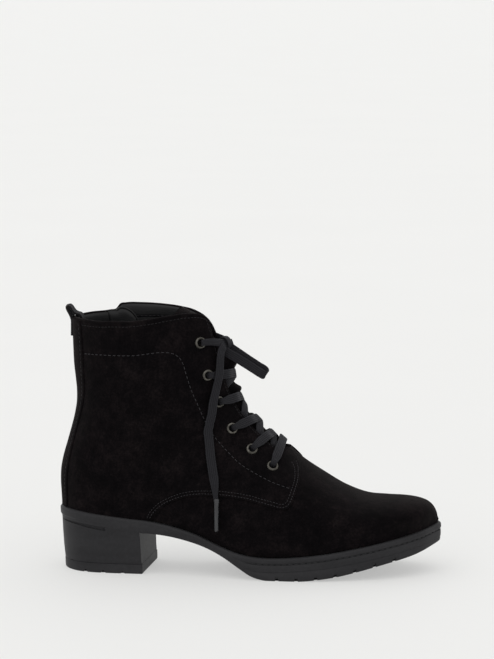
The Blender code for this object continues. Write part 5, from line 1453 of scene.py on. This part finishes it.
def sole_stitches():
    """Stitches in the groove round the forefoot, from the outer waist round the toe to the inner."""
    turns = np.linspace(0, 1, 900)
    x, ring = ring_x(turns), outline(turns, 0.75)
    out = outline(turns, 0.0) - ring
    path = np.column_stack([ring, seat_z(x) - GROOVE_DEEP])
    rows = [(path[x > GROOVE_FROM], unit(np.column_stack([out, 0 * x]))[x > GROOVE_FROM])]
    stitches("sole_stitches", rows, WAXED, "rubber", pitch=4.4, stitch=3.2, radius=0.33, up=0.0)


def heel_piece(name, levels, replaces, marks=None, painted_shade_ring=None):
    """Closed block of heel rings, top first; marks moves single places of its rings.

    A ring goes along the outer side from the back to the breast and along the inner side back.
    The wall below a given ring is painted shade.
    """
    turns = np.linspace(0.0, 1.0, 601)
    rings = []
    for inset, breast_in, height in levels:
        breast = BREAST_OUTER - breast_in
        made = []
        for side, end in zip(both_sides(outline(turns, inset)), (breast, breast + BREAST_SLANT)):
            at = np.interp(end, side[:250, 0], turns[:250]) * np.linspace(0.0, 1.0, 70)
            made.append(np.column_stack([np.interp(at, turns, line) for line in side.T]))
        flat = np.vstack([made[0], made[1][:0:-1]])
        z = height(flat[:, 0]) if callable(height) else np.full(len(flat), height)
        rings.append(np.column_stack([flat, z]))
    rings = np.stack(rings)
    if marks:
        marks(rings)
    stack(name, rings, 70, RUBBER, "rubber", replaces, 30, painted_shade_ring)


def heel_block():
    """Heel flush with the sole's wall, with a thin tapered bar pressed in below the rim."""
    def meets(x):
        return under_z(x) + HEEL_SPLIT

    def under_bar(x):
        return meets(x) - (1.3 + 1.2 * ease(x, 2.0, 30.0))

    def pressed_in(rings):
        x, y = rings[1:3, :, 0], rings[1:3, :, 1]
        deep = 1.3 * ease(x, -0.5, 3.0) * (1 - ease(x, 32.6, 33.2)) * (np.abs(y) > 4.0)
        rings[1:3, :, 1] = y - np.sign(y) * deep

    levels = [(0.5, 0, meets), (0.52, 0, lambda x: meets(x) - 0.04),
              (0.54, 0, lambda x: under_bar(x) + 0.04), (0.56, 0, under_bar), (0.95, -0.2, 26),
              (1.6, -0.6, 16), (2.2, -0.9, 10), (2.5, -1.15, 7.4), (2.62, -1.1, 7.15)]
    heel_piece("heel_block", levels, "heel", pressed_in)


def heel_tread():
    """Heel lift: a thin line under the heel, and notches in its lower edge closed inside by black
    walls of painted shade.
    """
    notches = np.array([18.4, 31.7, 45.2])

    def notched(height):
        return lambda x: height + 1.7 * (np.abs(x[:, None] - notches) < 0.95).any(axis=1)

    levels = [(3, -0.9, 7.05), (2.75, -1.2, 6.85), (2.4, -1.55, 6.5), (2.45, -1.65, 4),
              (2.55, -1.7, notched(1.9)), (2.75, -1.6, notched(0.5)), (3.3, -1.2, notched(0)),
              (5, 0.4, notched(0)), (5.2, 0.6, 0)]
    # The wall below the second ring from the bottom closes the notches; it is painted black as painted
    # shade.
    heel_piece("heel_tread", levels, "heel_lift", painted_shade_ring=len(levels) - 2)


def insole_pad():
    """Insole: lies on the turned-in margin, softly crowned, out to the wall."""
    turns = np.linspace(0.0, 1.0, 161)
    base = last_base(ring_x(turns))
    levels = [(LAST_INSET + 0.9 + inset, base + over) for inset, over in (
        (4, 3.3), (1.2, 3.1), (0.3, 2.4), (0, 1.4), (0, 0.5))]
    layer("insole_pad", turns, levels, LINING, "lining", "insole")


# Zip

ZIP_TOP, ZIP_FOOT = (37.0, 184.0), (52.0, 58.0)
SLIDER_MIDDLE = 176.0


def zip_x(z):
    """Place along the boot of the zip's slanted line at a height."""
    return ZIP_TOP[0] + (ZIP_TOP[1] - z) / (ZIP_TOP[1] - ZIP_FOOT[1]) * (ZIP_FOOT[0] - ZIP_TOP[0])


def zip_line(heights, lift, side_off=0.0):
    """Places, normals and width directions of the zip at given heights."""
    row, share = seen_at(zip_x(heights), heights, INNER)
    path, normals = spots(row, share * half_girth(row, INNER), lift)
    side_on = unit(np.cross(normals, np.gradient(path, axis=0)))
    return path + side_off * side_on, normals, side_on


def zip_chain():
    """Tape in its slit, two rows of teeth that mesh, the stop, and a stitch row on either side."""
    path, normals, side_on = zip_line(np.linspace(180.5, 58.0, 160), 3.0)
    across = np.array([-4.0, -3.9, -3.4, -2.2, 0.0, 2.2, 3.4, 3.9, 4.0])
    rise = np.array([-0.5, 0.12, 0.3, 0.22, 0.15, 0.22, 0.3, 0.12, -0.5])
    sheet("zip_tape", swept(path, side_on, across, normals, rise),
          swept(path, side_on, across, normals, [-0.8]), [BLACK_TAPE_AND_PAINTED_SHADE], "zip_teeth",
          replaces="zip_chain", sharp=50)
    teeth = []
    for sign, first in ((-1, 0.0), (1, 0.75)):
        line, up, _ = zip_line(np.linspace(169.6 - first, 59.0, 150), 3.7, sign * 0.55)
        both = even_along(np.hstack([line, np.cross(up, heading(line))]), line, 1.5)
        way, run = unit(both[:, 3:]), heading(both[:, :3])
        teeth.append((both[:, :3], way, run, np.cross(way, run)))
    middles, *axes = [np.vstack(parts) for parts in zip(*teeth)]
    length = 1.15 * np.array([-1.0, -1.0, -0.6, 0.6, 1.0, 1.0])[:, None]
    wide = np.array([0.0, 0.8, 1.0, 1.0, 0.8, 0.0])[:, None]
    copies("zip_teeth_rows", middles, axes, length, (0.5 * wide, 0.6 * wide), ZIP_TEETH, "zip_teeth")
    line, up, wide = zip_line(np.array([60.0, 58.5, 57.0]), 0.0)
    rings = [(3, 0, 0), (3, 2.4, 1.5), (4, 2.4, 1.5), (4.4, 2, 1.1), (4.4, 0, 0)]
    grid = turned(line[1], up[1], wide[1], unit(line[2] - line[0]), rings, 25, 0.6)
    piece("zip_stop", grid, [SILVER], "antique_silver", sharp=40)
    lines = [zip_line(np.linspace(178.0, 58.0, 200), 3.0, off)[:2] for off in (-6.2, 6.2)]
    stitches("zip_seams", lines, THREAD)


def slider_frame():
    """Middle of the slider with its directions outwards, across and down."""
    ends, around, _ = zip_line(SLIDER_MIDDLE + np.array([4.0, 0.0, -4.0]), 0.0)
    side_on = unit(np.cross(around[1], unit(ends[2] - ends[0])))
    return ends[1], around[1], side_on, np.cross(side_on, around[1])


def zip_slider():
    """Slider body as a stack of rounded rings, with its raised bridge for the pull."""
    rings = [(3.4, 0, 0), (3.4, 3.4, 5), (3.7, 4, 5.5), (4.6, 4, 5.5), (5.2, 3.7, 5.2),
             (5.4, 3, 4.6), (5.45, 1.4, 3), (5.8, 1.15, 2.4), (7.6, 1.15, 2.1), (8, 1, 1.8),
             (8.2, 0.6, 1.3), (8.2, 0, 0)]
    piece("zip_slider_body", turned(*slider_frame(), rings, 33, 0.6), [SILVER], "antique_silver",
          replaces="zip_slider", sharp=40)


def zip_pull():
    """Pull tab: a tapered plate with rounded edges whose fork clasps the slider's bridge."""
    middle, normal, side_on, down = slider_frame()
    outer = np.array([(-2.75, -0.9), (-2.75, 6.0), (-2.2, 18.0), (-1.2, 20.0), (0.0, 20.3),
                      (1.2, 20.0), (2.2, 18.0), (2.75, 6.0), (2.75, -0.9)])
    inner = np.array([(-1.5, -0.9), (-1.5, 4.2), (-1.2, 7.0), (-0.7, 8.0), (0.0, 8.2),
                      (0.7, 8.0), (1.2, 7.0), (1.5, 4.2), (1.5, -0.9)])
    share = np.linspace(0.0, 1.0, 9)[:, None, None]
    flat = outer + share * (inner - outer)
    crown = 0.7 * np.sqrt(np.clip(1 - (2 * share - 1)**4, 0.02, 1)) * normal
    base = middle + flat[..., :1] * side_on + flat[..., 1:] * down + 7.1 * normal
    sheet("zip_pull_tab", base + crown, base - crown, [SILVER], "antique_silver", body="zip_pull",
          replaces="zip_pull", sharp=45)


# All pieces, then the picture

lace_knot()
lace_end("outer", [(26.3, -11.5, 3.4), (26.15, -15.2, 4.9)], END_OUTER)
lace_end("inner", [(26.1, -2.0, 3.2), (25.8, 5.0, 3.6)], END_INNER)
lace_bows()
lace_crossings()
lace_bar()
eyelets()
upper_shell()
quarter_panel(OUTER)
quarter_panel(INNER)
collar_binding()
collar_lining()
zip_guard()
tongue()
backstay()
pull_loop()
sole_layer()
sole_stitches()
heel_block()
heel_tread()
insole_pad()
zip_chain()
zip_slider()
zip_pull()
look_from(azimuth=5.0, pitch=7.0, target=(131.0, 0.0, 170.5), distance=2000.0)
studio()
